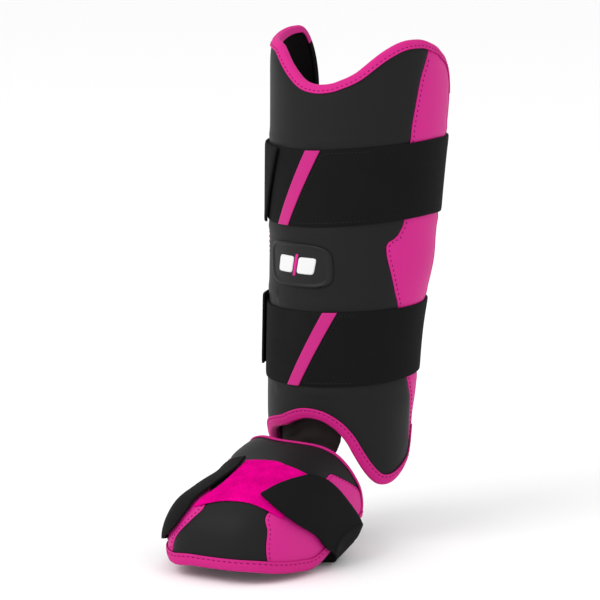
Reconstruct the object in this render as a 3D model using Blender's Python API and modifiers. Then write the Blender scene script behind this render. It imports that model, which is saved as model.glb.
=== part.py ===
"""Padded leg guard for a batter: curved shin guard, two wrap straps, ankle tongue and domed foot guard.

Everything is drawn on two smooth surfaces. The shin surface is an upright oval shell addressed by an
angle around the leg and a height. The foot surface is a rounded dome addressed by an angle across the
foot and an angle swung back from the toes about a hinge line on the floor.
Heights are measured from the floor and everything hangs from one empty at the leg seat.
"""
import math

import bmesh
import bpy
import numpy as np

for old in list(bpy.data.objects):
    bpy.data.objects.remove(old, do_unlink=True)

# Driving dimensions, metres
TOTAL_HEIGHT = 0.401
SHIN_WIDTH = 0.140
SHIN_DEPTH = 0.140
FOOT_WIDTH = 0.118
FOOT_REACH = 0.143
STRAP_WIDTH = 0.060
BADGE_WIDTH = 0.064
BADGE_HEIGHT = 0.034
TOP_LAP = 0.0042
BOTTOM_LAP = 0.0064
FOOT_LAP = 0.0080
STRIPE_WIDTH = 0.0129

# Layer thicknesses, metres
FOAM = 0.0065
SKIN = 0.0015
TAPE = 0.0012
STRAP = 0.0020
LANDING = 0.0015
LOOP_PAD = 0.0015
BADGE = 0.0020
TONGUE = 0.0020
GAP = 0.0006
RIM_GAP = 0.0011

# Heights and places
SEAT_HEIGHT = TOTAL_HEIGHT * 0.55
WING_ANGLE = 118.0
ROUND_ANGLE = 100.0
ROUND_HEIGHT = TOTAL_HEIGHT * 0.075
LONG_ROUND = TOTAL_HEIGHT * 0.137
HINGE_Y = SHIN_DEPTH * -0.536
FOOT_SHIFT = FOOT_WIDTH * -0.042
FOOT_SIDE = 70.5

# Height, half width, half depth and centre, as shares of total height, width, depth and depth
SHIN_SECTION = [
    (0.100, 0.4000, 0.4000, -0.2214),
    (0.300, 0.4043, 0.4071, -0.2071),
    (0.500, 0.4286, 0.4357, -0.1429),
    (0.650, 0.4607, 0.4643, -0.0821),
    (0.850, 0.4929, 0.4964, -0.0143),
    (1.020, 0.5014, 0.5014, 0.0000),
]
# Angle around the leg, height as a share of the total
TOP_RIM = [
    (-118, 1.0000), (-98, 1.0006), (-91, 0.9998), (-84, 0.9970), (-78, 0.9940), (-71, 0.9905), (-64, 0.9885),
    (-56, 0.9880), (-48, 0.9875), (-42, 0.9860), (-36, 0.9815), (-31.5, 0.9715), (-26.5, 0.9571), (-21, 0.9429),
    (-15, 0.9288), (-11.5, 0.9219), (-6.3, 0.9153), (0.7, 0.9122), (6.7, 0.9132), (12.5, 0.9166), (18, 0.9230),
    (23.4, 0.9300), (28.7, 0.9391), (34, 0.9515), (39, 0.9638), (44.5, 0.9759), (50, 0.9855), (55.6, 0.9930),
    (61.6, 0.9975), (68, 0.9983), (75, 0.9965), (84, 0.9880), (90, 0.9810), (98, 0.9670), (106, 0.9570), (118, 0.9500),
]
BOTTOM_RIM = [
    (-118, 0.1700), (-104, 0.1500), (-92, 0.1450), (-78, 0.1600), (-66, 0.1850), (-56, 0.2060),
    (-46, 0.2205), (-33, 0.2310), (-21, 0.2390), (-12, 0.2490), (-2, 0.2580), (7, 0.2595),
    (16, 0.2550), (24, 0.2445), (30, 0.2325), (37, 0.2120), (43, 0.1870), (50, 0.1600), (57, 0.1395),
    (64, 0.1270), (73, 0.1235), (82, 0.1280), (92, 0.1380), (102, 0.1490), (118, 0.1600),
]
# Height share, angle of the seam between the middle skin and the side panel
SEAM = [
    (0.180, 108.0), (0.227, 105.5), (0.258, 103.0), (0.291, 98.0), (0.324, 91.0), (0.400, 80.0),
    (0.478, 71.0), (0.510, 66.4), (0.547, 61.2), (0.575, 57.2), (0.597, 55.4), (0.607, 56.5),
    (0.615, 61.9), (0.628, 64.8), (0.645, 66.8), (0.720, 66.0), (0.807, 65.7), (0.838, 66.4),
    (0.871, 68.0), (0.904, 70.0), (0.929, 72.2), (0.953, 75.6), (0.975, 79.0), (1.000, 82.5),
]
# Height share, how far the right side swells out as a share of the width
SIDE_SWELL = [
    (0.10, -0.0200), (0.30, -0.0080), (0.45, 0.0020), (0.55, 0.0080), (0.65, 0.0015), (0.78, -0.0100),
    (1.00, -0.0160),
]
# Angle, centre height share, width share of the strap width
UPPER_STRAP = [
    (-30, 0.7085, 1.00), (0, 0.7112, 1.00), (30, 0.7177, 1.00), (60, 0.7237, 1.00), (90, 0.7270, 1.00),
    (119, 0.7230, 1.00), (180, 0.7180, 1.00), (240, 0.7110, 1.00), (302, 0.7070, 1.02), (333, 0.7077, 1.02),
]
LOWER_STRAP = [
    (-30, 0.3970, 0.98), (0, 0.3982, 0.98), (30, 0.4007, 0.98), (60, 0.4027, 0.97), (90, 0.4057, 0.95),
    (119, 0.4072, 0.94), (180, 0.4070, 0.94), (240, 0.4110, 0.94), (302, 0.4150, 0.94), (333, 0.4150, 0.94),
]
# Foot profile at the middle: reach forward of the hinge and height, as shares of the foot reach
FOOT_PROFILE = [
    (1.0000, 0.0000), (1.0105, 0.1399), (0.9860, 0.2797), (0.9091, 0.3811), (0.7692, 0.4371),
    (0.5594, 0.4930), (0.3497, 0.5455), (0.1608, 0.5979), (0.0000, 0.6434),
]
# Swing angle, half width as a share of the foot width, squareness of the left and the right
FOOT_RIB = [
    (0, 0.496, 3.7, 3.7), (20, 0.504, 3.4, 3.6), (45, 0.496, 3.1, 3.4), (65, 0.475, 4.0, 3.1),
    (90, 0.449, 4.0, 2.7),
]
# Angle across, swing angle of the front rim, swing angle of the back rim
FOOT_RIMS = [
    (-71, 46, 66), (-69, 35, 78), (-66, 23, 86), (-60, 10, 90), (-52, 6, 86), (-44, 5, 83), (-36, 4, 81),
    (-28, 3.4, 79), (-14, 4, 76.5), (0, 4, 76), (14, 4, 76.5), (28, 4, 79), (36, 3.8, 81), (44, 3, 83),
    (52, 2.4, 86), (60, 4, 90), (66, 16, 88), (69, 28, 80), (71, 44, 66),
]
# Swing angle, angle across of the left and right seams of the foot's middle skin
FOOT_SEAM = [
    (0, -31, 40), (7, -30, 40), (12, -27, 39), (18, -15, 38), (22, -9, 35), (27, -11, 36), (34, -18, 38),
    (45, -28, 41), (56, -38, 42), (62, -42, 42), (67, -47, 47), (75, -53, 53), (84, -58, 58), (92, -62, 62),
]
# Foot strap laid on the foot: angle across and swing angle of the back edge, then of the front edge
STRAP_LEFT = [(-16, 51, -18.5, 21), (-28, 50, -26, 15), (-40, 48, -38, 11), (-53, 46, -50, 10)]
STRAP_RIGHT = [(72, 52, 64, 8), (68, 54, 62, 14), (60, 53, 57, 20), (50, 52, 49, 22), (42, 50, 40, 24),
               (36, 47, 26, 28)]
# Foot strap below the sole: across, back edge y and height, front edge y and height
STRAP_UNDER = [
    (-0.545, -0.820, 0.150, -1.175, 0.018), (-0.420, -0.790, 0.095, -1.165, 0.010),
    (0.000, -0.720, 0.080, -1.090, 0.010), (0.400, -0.680, 0.085, -1.010, 0.010),
    (0.500, -0.672, 0.130, -1.000, 0.022),
]


def curve(table, x, column=1):
    """Smooth value of one column of a table at x, held at both ends."""
    xs = [row[0] for row in table]
    ys = [row[column] for row in table]
    x = min(max(x, xs[0]), xs[-1])
    k = 0
    while k < len(xs) - 2 and x > xs[k + 1]:
        k += 1
    low = max(k - 1, 0)
    high = min(k + 2, len(xs) - 1)
    m0 = (ys[k + 1] - ys[low]) / (xs[k + 1] - xs[low])
    m1 = (ys[high] - ys[k]) / (xs[high] - xs[k])
    h = xs[k + 1] - xs[k]
    t = (x - xs[k]) / h
    first = (2 * t ** 3 - 3 * t ** 2 + 1) * ys[k] + (t ** 3 - 2 * t ** 2 + t) * h * m0
    return first + (3 * t ** 2 - 2 * t ** 3) * ys[k + 1] + (t ** 3 - t ** 2) * h * m1


def mix(a, b, t):
    """Plain blend of two values."""
    return a + (b - a) * t


def spread(start, end, count):
    """Evenly spaced values, both ends kept."""
    return [mix(start, end, k / count) for k in range(count + 1)]


def smooth(x, low, high):
    """Smooth step from 0 at low to 1 at high."""
    t = min(max((x - low) / (high - low), 0.0), 1.0)
    return t * t * (3 - 2 * t)


def shin_point(angle, height, out):
    """Point at an angle around the leg, a height above the floor and a distance off the foam."""
    share = height / TOTAL_HEIGHT
    a = SHIN_WIDTH * curve(SHIN_SECTION, share, 1)
    b = SHIN_DEPTH * curve(SHIN_SECTION, share, 2)
    c = SHIN_DEPTH * curve(SHIN_SECTION, share, 3)
    t = math.radians(angle)
    turn = smooth(angle, 40.0, 110.0) * (1 - smooth(angle, 125.0, 200.0))
    out += SHIN_WIDTH * curve(SIDE_SWELL, share) * turn
    nx = b * math.sin(t)
    ny = -a * math.cos(t)
    n = math.hypot(nx, ny)
    return np.array([a * math.sin(t) + out * nx / n, c - b * math.cos(t) + out * ny / n, height])


def rim_height(angle, top, inset):
    """Height of the top or bottom rim, rounded down into the back edges of the wings."""
    table = TOP_RIM if top else BOTTOM_RIM
    sign = 1 if top else -1
    height = TOTAL_HEIGHT * curve(table, angle) - sign * inset
    wing = WING_ANGLE - inset / SHIN_WIDTH * 115
    t = (abs(angle) - ROUND_ANGLE) / (wing - ROUND_ANGLE)
    t = min(max(t, 0.0), 1.0)
    drop = LONG_ROUND if top and angle < 0 else ROUND_HEIGHT
    return height - sign * drop * (1 - math.sqrt(1 - t * t))


def wing_columns(count, inset):
    """Angles across the whole guard, close together where the corners turn."""
    wing = WING_ANGLE - inset / SHIN_WIDTH * 115
    turn = [ROUND_ANGLE + (wing - ROUND_ANGLE) * math.sin(math.radians(90 * k / 3)) for k in (1, 2, 3)]
    middle = spread(-ROUND_ANGLE, ROUND_ANGLE, count)
    return [-a for a in reversed(turn)] + middle + turn


def foot_base(across, swing):
    """Point of the foot surface; both angles in degrees."""
    angle = [math.degrees(math.atan2(z, y)) for y, z in FOOT_PROFILE]
    radius = [FOOT_REACH * math.hypot(y, z) for y, z in FOOT_PROFILE]
    r = curve(list(zip(angle, radius)), swing)
    if swing > angle[-1]:
        r = radius[-1]
    half = FOOT_WIDTH * curve(FOOT_RIB, swing, 1)
    square = curve(FOOT_RIB, swing, 3 if across > 0 else 2)
    s = math.sin(math.radians(across))
    c = math.cos(math.radians(across))
    k = (abs(s) ** square + abs(c) ** square) ** (-1 / square)
    t = math.radians(swing)
    return np.array([FOOT_SHIFT + half * k * s, HINGE_Y - r * k * c * math.cos(t), r * k * c * math.sin(t)])


def foot_point(across, swing, out):
    """Point off the foot surface by a distance along its outward normal."""
    step = 0.4
    side = foot_base(across + step, swing) - foot_base(across - step, swing)
    back = foot_base(across, swing + step) - foot_base(across, swing - step)
    normal = np.cross(side, back)
    normal = normal / np.linalg.norm(normal)
    centre = np.array([FOOT_SHIFT, HINGE_Y, 0.0])
    base = foot_base(across, swing)
    if normal.dot(base - centre) < 0:
        normal = -normal
    return base + out * normal


def foot_rim(across, back, inset):
    """Swing angle of the front or back rim, pulled in by a distance."""
    radius = np.linalg.norm(foot_base(across, 40) - foot_base(89, 40))
    turn = math.degrees(inset / max(radius, 0.02))
    if back:
        return curve(FOOT_RIMS, across, 2) - turn
    return curve(FOOT_RIMS, across, 1) + turn


root = bpy.data.objects.new("leg_seat", None)
root.location = (0.0, 0.0, -SEAT_HEIGHT)
parts = bpy.data.collections.new("leg_guard")
bpy.context.scene.collection.children.link(parts)
parts.objects.link(root)


def finish(name, mesh, color, roughness):
    """Put a mesh into the collection with its own material."""
    obj = bpy.data.objects.new(name, mesh)
    parts.objects.link(obj)
    obj.parent = root
    material = bpy.data.materials.new(name)
    material.use_nodes = True
    shader = material.node_tree.nodes["Principled BSDF"]
    shader.inputs["Base Color"].default_value = (*color, 1.0)
    shader.inputs["Roughness"].default_value = roughness
    mesh.materials.append(material)
    return obj


def sheet(name, columns, rows, place, thickness, color, roughness):
    """Grid of columns by rows put in place point by point and thickened evenly about its middle."""
    bm = bmesh.new()
    wide = len(columns) - 1
    high = len(rows) - 1
    bmesh.ops.create_grid(bm, x_segments=wide, y_segments=high, size=0.5)
    for vert in bm.verts:
        i = round((vert.co.x + 0.5) * wide)
        j = round((vert.co.y + 0.5) * high)
        vert.co = place(columns[i], rows[j])
    bmesh.ops.remove_doubles(bm, verts=bm.verts, dist=0.00001)
    mesh = bpy.data.meshes.new(name)
    bm.to_mesh(mesh)
    bm.free()
    obj = finish(name, mesh, color, roughness)
    solid = obj.modifiers.new("thickness", 'SOLIDIFY')
    solid.thickness = thickness
    solid.offset = 0.0
    solid.use_even_offset = True
    return obj


BLACK = (0.027, 0.027, 0.028)
DEEP_BLACK = (0.012, 0.012, 0.013)
PINK = (0.60, 0.028, 0.24)
MAGENTA = (0.72, 0.002, 0.235)
EDGE = TAPE + RIM_GAP
SEAM_GAP = 0.3
FACE_ROWS = spread(0, 1, 16)
SKIN_MIDDLE = GAP + SKIN / 2
SKIN_TOP = GAP + SKIN
FOOT_SKIN = SKIN_MIDDLE + GAP / 2
LAP_OUT = SKIN_TOP + GAP + TAPE / 2
LAP_IN = -FOAM - GAP - TAPE / 2


WINGS = wing_columns(24, EDGE)
SHIN_ROWS = spread(0, 1, 8)


def shin_height(angle, share):
    """Height of a row of the guard at an angle."""
    return mix(rim_height(angle, False, EDGE), rim_height(angle, True, EDGE), share)


def shin_seam(share, side):
    """Angle where a row of the guard meets the seam of one side."""
    low = 40.0
    high = WINGS[-1]
    for _ in range(30):
        middle = (low + high) / 2
        height = shin_height(side * middle, share)
        if middle < curve(SEAM, height / TOTAL_HEIGHT):
            low = middle
        else:
            high = middle
    return side * low


def make_shin_liner():
    """Foam core with its lining: the thick shell that everything is sewn to."""
    def place(angle, share):
        return shin_point(angle, shin_height(angle, share), -FOAM / 2)
    return sheet("shin_liner", WINGS, SHIN_ROWS, place, FOAM, DEEP_BLACK, 0.8)


def make_shin_face():
    """Middle skin between the two side seams."""
    def place(angle, share):
        angle = max(min(angle, shin_seam(share, 1) - SEAM_GAP), shin_seam(share, -1) + SEAM_GAP)
        return shin_point(angle, shin_height(angle, share), SKIN_MIDDLE)
    return sheet("shin_face", WINGS, FACE_ROWS, place, SKIN, BLACK, 0.55)


def make_side_panel(name, side):
    """Skin of one side, from the seam round to the back edge of the wing."""
    def place(angle, share):
        angle = side * max(angle, abs(shin_seam(share, side)) + SEAM_GAP)
        return shin_point(angle, shin_height(angle, share), SKIN_MIDDLE)
    columns = [angle for angle in WINGS if angle > 45]
    return sheet(name, columns, FACE_ROWS, place, SKIN, PINK, 0.5)


def wrap_section(width, extra=0.0):
    """Middle line of a tape folded over a rim: distance in from the rim, height off the foam."""
    edge = -RIM_GAP - TAPE / 2
    top = LAP_OUT + extra
    fold = TAPE * 0.4
    return [(width, top), (edge + fold, top), (edge, top - fold),
            (edge, LAP_IN + fold), (edge + fold, LAP_IN), (width * 0.75, LAP_IN)]


def make_shin_binding(name, top):
    """Tape folded over the top or the bottom rim, from one wing corner to the other."""
    sign = 1 if top else -1

    def place(angle, part):
        inset, out = part
        step = 0.2
        inside = WING_ANGLE - EDGE / SHIN_WIDTH * 115 - 0.25
        a0 = max(angle - step, -inside)
        a1 = min(angle + step, inside)
        scale = math.radians(1) * SHIN_WIDTH * 0.47
        ds = (a1 - a0) * scale
        dz = rim_height(a1, top, EDGE) - rim_height(a0, top, EDGE)
        length = math.hypot(ds, dz)
        height = rim_height(angle, top, EDGE)
        return shin_point(angle + sign * inset * dz / length / scale, height - sign * inset * ds / length, out)
    scale = math.radians(1) * SHIN_WIDTH * 0.47
    reach = WINGS[-1] * 0.997
    fine = [reach * math.sin(math.radians(k * 90 / 200)) for k in range(-200, 201)]
    heights = [rim_height(angle, top, EDGE) for angle in fine]
    lengths = [0.0]
    for k in range(400):
        lengths.append(lengths[-1] + math.hypot((fine[k + 1] - fine[k]) * scale, heights[k + 1] - heights[k]))
    columns = [float(np.interp(x, lengths, fine)) for x in spread(0, lengths[-1], 34)]
    return sheet(name, columns, wrap_section(TOP_LAP if top else BOTTOM_LAP), place, TAPE, PINK, 0.6)


def strap_point(table, angle, share, out):
    """Point of a strap: angle along it, share across it from the lower to the upper edge."""
    centre = TOTAL_HEIGHT * curve(table, angle, 1)
    width = STRAP_WIDTH * curve(table, angle, 2)
    return shin_point(angle, centre + width * (share - 0.5), out)


STRAP_OUT = SKIN_TOP + GAP + STRAP / 2
LANDING_OUT = SKIN_TOP + GAP + LANDING / 2
OVER_OUT = SKIN_TOP + LANDING + 2 * GAP + STRAP / 2
STRIPE_OUT = SKIN_TOP + STRAP + 2 * GAP + TAPE / 2

LINES = spread(-100, 360, 60)
STRAP_ROWS = spread(0, 1, 3)


def make_strap(name, table, top_angle, low_angle, end_top, end_low):
    """Strap sewn on at the front, round the right, behind the calf and back onto its landing tab."""
    def place(angle, share):
        start = mix(low_angle, top_angle, share) + SEAM_GAP
        end = mix(end_low, end_top, share)
        angle = max(min(angle, end), start)
        lift = min(max((angle - 215) / 50, 0.0), 1.0)
        lift = lift * lift * (3 - 2 * lift)
        return strap_point(table, angle, share, mix(STRAP_OUT, OVER_OUT, lift))
    return sheet(name, LINES, STRAP_ROWS, place, STRAP, DEEP_BLACK, 0.75)


def make_landing(name, table, top_angle, low_angle):
    """Loop tab on the left that the free end of the strap lands on."""
    def place(angle, share):
        end = mix(low_angle, top_angle, share) - SEAM_GAP
        return strap_point(table, max(min(angle, end), -76), share, LANDING_OUT)
    return sheet(name, LINES, STRAP_ROWS, place, LANDING, DEEP_BLACK, 0.9)


def make_stripe(name, table, top_angle, low_angle):
    """Slanted band that covers the sewn start of the strap."""
    half = STRIPE_WIDTH / SHIN_WIDTH * 58

    def place(angle, share):
        middle = mix(low_angle, top_angle, share)
        return strap_point(table, max(min(angle, middle + half), middle - half), share, STRIPE_OUT)
    return sheet(name, LINES, STRAP_ROWS, place, TAPE, PINK, 0.5)


def make_badge():
    """Moulded badge lying round the front between the straps, with rounded corners."""
    middle = -9.5
    height = TOTAL_HEIGHT * 0.5600
    scale = math.radians(1) * SHIN_WIDTH * 0.455

    def place(across, up):
        reach = (abs(across) ** 4 + abs(up) ** 4) ** 0.25
        size = max(abs(across), abs(up))
        shrink = size / reach if reach > 0 else 1.0
        x = across * shrink * BADGE_WIDTH / 2
        z = up * shrink * BADGE_HEIGHT / 2
        return shin_point(middle + (x - 0.10 * z) / scale, height + z, SKIN_TOP + GAP + BADGE / 2)
    return sheet("badge", spread(-1, 1, 10), spread(-1, 1, 6), place, BADGE, BLACK, 0.45)


def make_tongue():
    """Cloth from inside the shin guard's arch down into the foot guard."""
    out = LAP_IN - TAPE / 2 - GAP - TONGUE / 2

    def place(across, row):
        angle = mix(-56, 30, across)
        side = mix(-38, 34, across)
        low = rim_height(angle, False, 0.0)
        edge = foot_rim(side, True, 0.0)
        stops = [
            shin_point(angle, low + 0.032, out),
            shin_point(angle, low + 0.016, out),
            shin_point(angle, low + 0.002, out),
            shin_point(angle, low - 0.010, out - 0.0005),
            foot_point(side, edge + 7, out - 0.0020),
            foot_point(side, edge - 3, out - 0.0005),
            foot_point(side, edge - 11, out),
        ]
        tables = [[(k, stop[axis]) for k, stop in enumerate(stops)] for axis in range(3)]
        return [curve(tables[axis], row) for axis in range(3)]
    return sheet("ankle_tongue", spread(0, 1, 9), spread(0, 6, 10), place, TONGUE, DEEP_BLACK, 0.9)


ACROSS = [0, 15, 25, 31, 35, 39, 43, 46.5, 50, 54, 59, 64, FOOT_SIDE - 1.0]
ACROSS = [-angle for angle in reversed(ACROSS[1:])] + ACROSS
FOOT_ROWS = [0.0, 0.09, 0.16, 0.215, 0.26, 0.31, 0.39, 0.51, 0.64, 0.75, 0.84, 0.92, 1.0]


def foot_swing(across, share):
    """Swing angle of a row of the foot guard."""
    return mix(foot_rim(across, False, EDGE), foot_rim(across, True, EDGE), share)


def foot_seam(share, side):
    """Angle across where a row of the foot guard meets the seam of one side."""
    column = 2 if side > 0 else 1
    low = 0.0
    high = ACROSS[-1]
    for _ in range(30):
        middle = (low + high) / 2
        if middle < side * curve(FOOT_SEAM, foot_swing(side * middle, share), column):
            low = middle
        else:
            high = middle
    return side * low


def make_foot_liner():
    """Foam core and lining of the foot guard."""
    def place(across, share):
        return foot_point(across, foot_swing(across, share), -FOAM / 2)
    return sheet("foot_liner", ACROSS, FOOT_ROWS, place, FOAM, DEEP_BLACK, 0.8)


def make_foot_face():
    """Black skin of the foot guard from the toe rim over the instep to the back rim."""
    def place(across, share):
        across = max(min(across, foot_seam(share, 1) - SEAM_GAP), foot_seam(share, -1) + SEAM_GAP)
        return foot_point(across, foot_swing(across, share), FOOT_SKIN)
    return sheet("foot_face", ACROSS, FOOT_ROWS, place, SKIN, BLACK, 0.55)


def make_foot_panel(name, side):
    """Pink skin of one side of the foot guard."""
    def place(across, share):
        across = side * max(across, abs(foot_seam(share, side)) + SEAM_GAP)
        return foot_point(across, foot_swing(across, share), FOOT_SKIN)
    columns = [angle for angle in ACROSS if angle > 0]
    return sheet(name, columns, FOOT_ROWS, place, SKIN, PINK, 0.5)


def make_foot_binding(name, back, width):
    """Tape folded over the front or the back rim of the foot guard."""
    sign = -1 if back else 1

    def place(across, part):
        inset, out = part
        swing = foot_rim(across, back, EDGE)
        along = foot_base(across + 0.5, foot_rim(across + 0.5, back, EDGE))
        along = along - foot_base(across - 0.5, foot_rim(across - 0.5, back, EDGE))
        side_way = foot_base(across + 0.5, swing) - foot_base(across - 0.5, swing)
        back_way = foot_base(across, swing + 0.5) - foot_base(across, swing - 0.5)
        normal = np.cross(side_way, back_way)
        inward = np.cross(normal, along)
        inward = sign * inward / np.linalg.norm(inward)
        turn = np.linalg.lstsq(np.column_stack([side_way, back_way]), inward * inset, rcond=None)[0]
        return foot_point(across + turn[0], swing + turn[1], out)
    columns = [angle for angle in ACROSS if abs(angle) < 60]
    return sheet(name, columns, wrap_section(width, GAP / 2), place, TAPE, PINK, 0.6)


PAD_RIGHT = 42.0
PAD_LEFT = [(0.0, -16.5), (0.3, -12.0), (0.68, -13.5), (1.0, -15.0)]
PAD_FRONT = [(-46, 30), (-35, 28), (-26, 24.5), (-18, 21.5), (-7, 23), (4, 24.4), (15, 25), (24, 25),
             (34, 24), (46, 22)]
PAD_BACK = [(-46, 49), (-16, 50), (8, 52), (22, 50), (36, 49), (46, 48)]


def make_loop_pad():
    """Fuzzy pad across the instep that both ends of the foot strap land on."""
    def place(across, share):
        low = curve(PAD_FRONT, -14)
        high = curve(PAD_BACK, -14)
        part = (min(max(foot_swing(-14, share), low), high) - low) / (high - low)
        across = max(min(across, PAD_RIGHT), curve(PAD_LEFT, part))
        swing = max(min(foot_swing(across, share), curve(PAD_BACK, across)), curve(PAD_FRONT, across))
        return foot_point(across, swing, FOOT_SKIN + SKIN / 2 + GAP + LOOP_PAD / 2)
    return sheet("loop_pad", ACROSS, FOOT_ROWS, place, LOOP_PAD, MAGENTA, 0.95)


def make_foot_strap():
    """Strap from the pad down the left side, under the sole and up the right side."""
    low = FOOT_SKIN + SKIN / 2 + 2.5 * GAP + STRAP / 2
    high = FOOT_SKIN + SKIN / 2 + LOOP_PAD + 3.0 * GAP + STRAP / 2

    def laid(table, share, count, start, bow):
        rows = []
        for k in range(count + 1):
            x = (len(table) - 1) * k / count
            values = [curve([(n, row[c]) for n, row in enumerate(table)], x) for c in range(4)]
            bowed = bow * math.sin(math.pi * share) * max(1 - x, 0.0)
            across = mix(values[0], values[2], share) + bowed
            out = mix(start, high, min(x / 2, 1.0))
            rows.append(foot_point(across, mix(values[1], values[3], share), out))
        return rows

    def line(share):
        stops = laid(STRAP_LEFT, share, 10, low, 3.0)
        for x, back_y, back_z, front_y, front_z in STRAP_UNDER:
            y = FOOT_REACH * mix(back_y, front_y, share)
            z = FOOT_REACH * mix(back_z, front_z, share)
            stops.append(np.array([FOOT_SHIFT + FOOT_WIDTH * x, y, z]))
        return stops + laid(STRAP_RIGHT, share, 12, high, 0.0)

    shares = [0.0, 0.3, 0.6, 0.8, 0.92, 1.0]
    lines = {share: line(share) for share in shares}
    count = len(lines[0.0]) - 1

    def place(along, share):
        tables = [[(k, stop[axis]) for k, stop in enumerate(lines[share])] for axis in range(3)]
        return [curve(tables[axis], along) for axis in range(3)]
    columns = spread(0, count, count)
    return sheet("foot_strap", columns, shares, place, STRAP, DEEP_BLACK, 0.75)


make_shin_liner()
make_shin_face()
make_side_panel("side_panel_right", 1)
make_side_panel("side_panel_left", -1)
make_shin_binding("shin_binding_top", True)
make_shin_binding("shin_binding_bottom", False)
make_strap("strap_upper", UPPER_STRAP, 1.4, -22.1, 333.0, 315.0)
make_strap("strap_lower", LOWER_STRAP, 19.0, -8.0, 305.0, 302.0)
make_landing("landing_upper", UPPER_STRAP, 1.4, -22.1)
make_landing("landing_lower", LOWER_STRAP, 19.0, -8.0)
make_stripe("stripe_upper", UPPER_STRAP, 1.4, -22.1)
make_stripe("stripe_lower", LOWER_STRAP, 19.0, -8.0)
make_badge()
make_tongue()
make_foot_liner()
make_foot_face()
make_foot_panel("foot_panel_right", 1)
make_foot_panel("foot_panel_left", -1)
make_foot_binding("foot_binding_front", False, FOOT_LAP)
make_foot_binding("foot_binding_back", True, FOOT_LAP * 0.5)
make_loop_pad()
make_foot_strap()
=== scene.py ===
"""Looks of a padded leg guard: curved shin guard, two wrap straps, ankle tongue and domed foot guard.

Two smooth forms carry every piece. The shin form is an upright oval shell addressed by an angle round
the leg and a height. The foot form is a dome addressed by an angle across the foot and an angle swung
back from the toes. Lengths are metres and angles degrees.
"""
import bisect
import enum
import logging
import math
from dataclasses import dataclass, field
from typing import Callable, Sequence

import bmesh
import bpy
import numpy as np
from mathutils import Matrix, Vector, noise


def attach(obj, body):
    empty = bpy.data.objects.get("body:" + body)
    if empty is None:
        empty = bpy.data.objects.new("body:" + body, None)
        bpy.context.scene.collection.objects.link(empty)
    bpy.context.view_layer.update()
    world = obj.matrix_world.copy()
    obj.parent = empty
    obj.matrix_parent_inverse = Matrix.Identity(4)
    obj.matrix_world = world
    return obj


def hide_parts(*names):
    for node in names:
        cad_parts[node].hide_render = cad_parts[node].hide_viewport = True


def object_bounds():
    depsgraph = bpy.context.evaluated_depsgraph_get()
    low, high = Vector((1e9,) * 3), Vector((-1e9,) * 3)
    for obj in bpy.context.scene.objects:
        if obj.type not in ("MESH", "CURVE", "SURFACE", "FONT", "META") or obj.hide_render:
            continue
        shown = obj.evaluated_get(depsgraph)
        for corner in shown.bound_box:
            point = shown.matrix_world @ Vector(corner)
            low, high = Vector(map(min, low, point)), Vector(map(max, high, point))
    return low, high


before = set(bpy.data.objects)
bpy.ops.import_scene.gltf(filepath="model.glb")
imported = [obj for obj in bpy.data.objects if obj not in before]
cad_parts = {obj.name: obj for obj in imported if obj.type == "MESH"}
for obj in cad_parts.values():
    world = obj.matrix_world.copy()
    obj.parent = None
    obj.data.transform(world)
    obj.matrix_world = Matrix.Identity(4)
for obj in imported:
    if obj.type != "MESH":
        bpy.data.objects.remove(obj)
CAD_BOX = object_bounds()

LOG = logging.getLogger("leg_guard")

FOAM = 0.0065
SKIN = 0.0015
TAPE = 0.0012
STRAP = 0.0020
LANDING = 0.0015
LOOP_PAD = 0.0015
BADGE = 0.0020
TONGUE = 0.0020
GAP = 0.0006
RIM_GAP = 0.0011
EDGE = TAPE + RIM_GAP
SKIN_TOP = GAP + SKIN
ROOT = "root"

Place = Callable[[float, float], Vector]
Rows = Sequence[Sequence[float]]


class Curve:
    """Smooth curve through one column of a table, held at both ends."""

    def __init__(self, rows: Rows, column: int = 1) -> None:
        """Reads the table.

        Args:
            rows: Rows of numbers, in rising order of the first.
            column: Which number of a row the curve gives.
        """
        self.xs = [row[0] for row in rows]
        self.ys = [row[column] for row in rows]
        last = len(self.xs) - 1
        self.slopes = []
        for k in range(last + 1):
            low, high = max(k - 1, 0), min(k + 1, last)
            self.slopes.append((self.ys[high] - self.ys[low]) / (self.xs[high] - self.xs[low]))

    def __call__(self, x: float) -> float:
        """Value of the curve at x."""
        x = min(max(x, self.xs[0]), self.xs[-1])
        k = min(max(bisect.bisect_right(self.xs, x) - 1, 0), len(self.xs) - 2)
        h = self.xs[k + 1] - self.xs[k]
        t = (x - self.xs[k]) / h
        low = (1 + 2 * t) * (1 - t) ** 2 * self.ys[k] + t * (1 - t) ** 2 * h * self.slopes[k]
        return low + t * t * (3 - 2 * t) * self.ys[k + 1] + t * t * (t - 1) * h * self.slopes[k + 1]


def mix(a: float, b: float, t: float) -> float:
    """Plain blend of two values."""
    return a + (b - a) * t


def clamp(x: float, low: float, high: float) -> float:
    """x kept between two values."""
    return min(max(x, low), high)


def spread(start: float, end: float, count: int) -> list[float]:
    """Evenly spaced values, both ends kept."""
    return [mix(start, end, k / count) for k in range(count + 1)]


def eased(start: float, end: float, count: int, share: float = 0.4) -> list[float]:
    """Spaced values that draw closer together towards both ends.

    Args:
        start: First value.
        end: Last value.
        count: Number of steps.
        share: How much of the spacing is drawn to the ends.

    Returns:
        The values, both ends kept.
    """
    steps = [k / count for k in range(count + 1)]
    return [mix(start, end, (1 - share) * t + share * (0.5 - 0.5 * math.cos(math.pi * t))) for t in steps]


def ease(x: float, low: float, high: float) -> float:
    """Smooth step from 0 at low to 1 at high."""
    t = clamp((x - low) / (high - low), 0.0, 1.0)
    return t * t * (3 - 2 * t)


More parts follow.
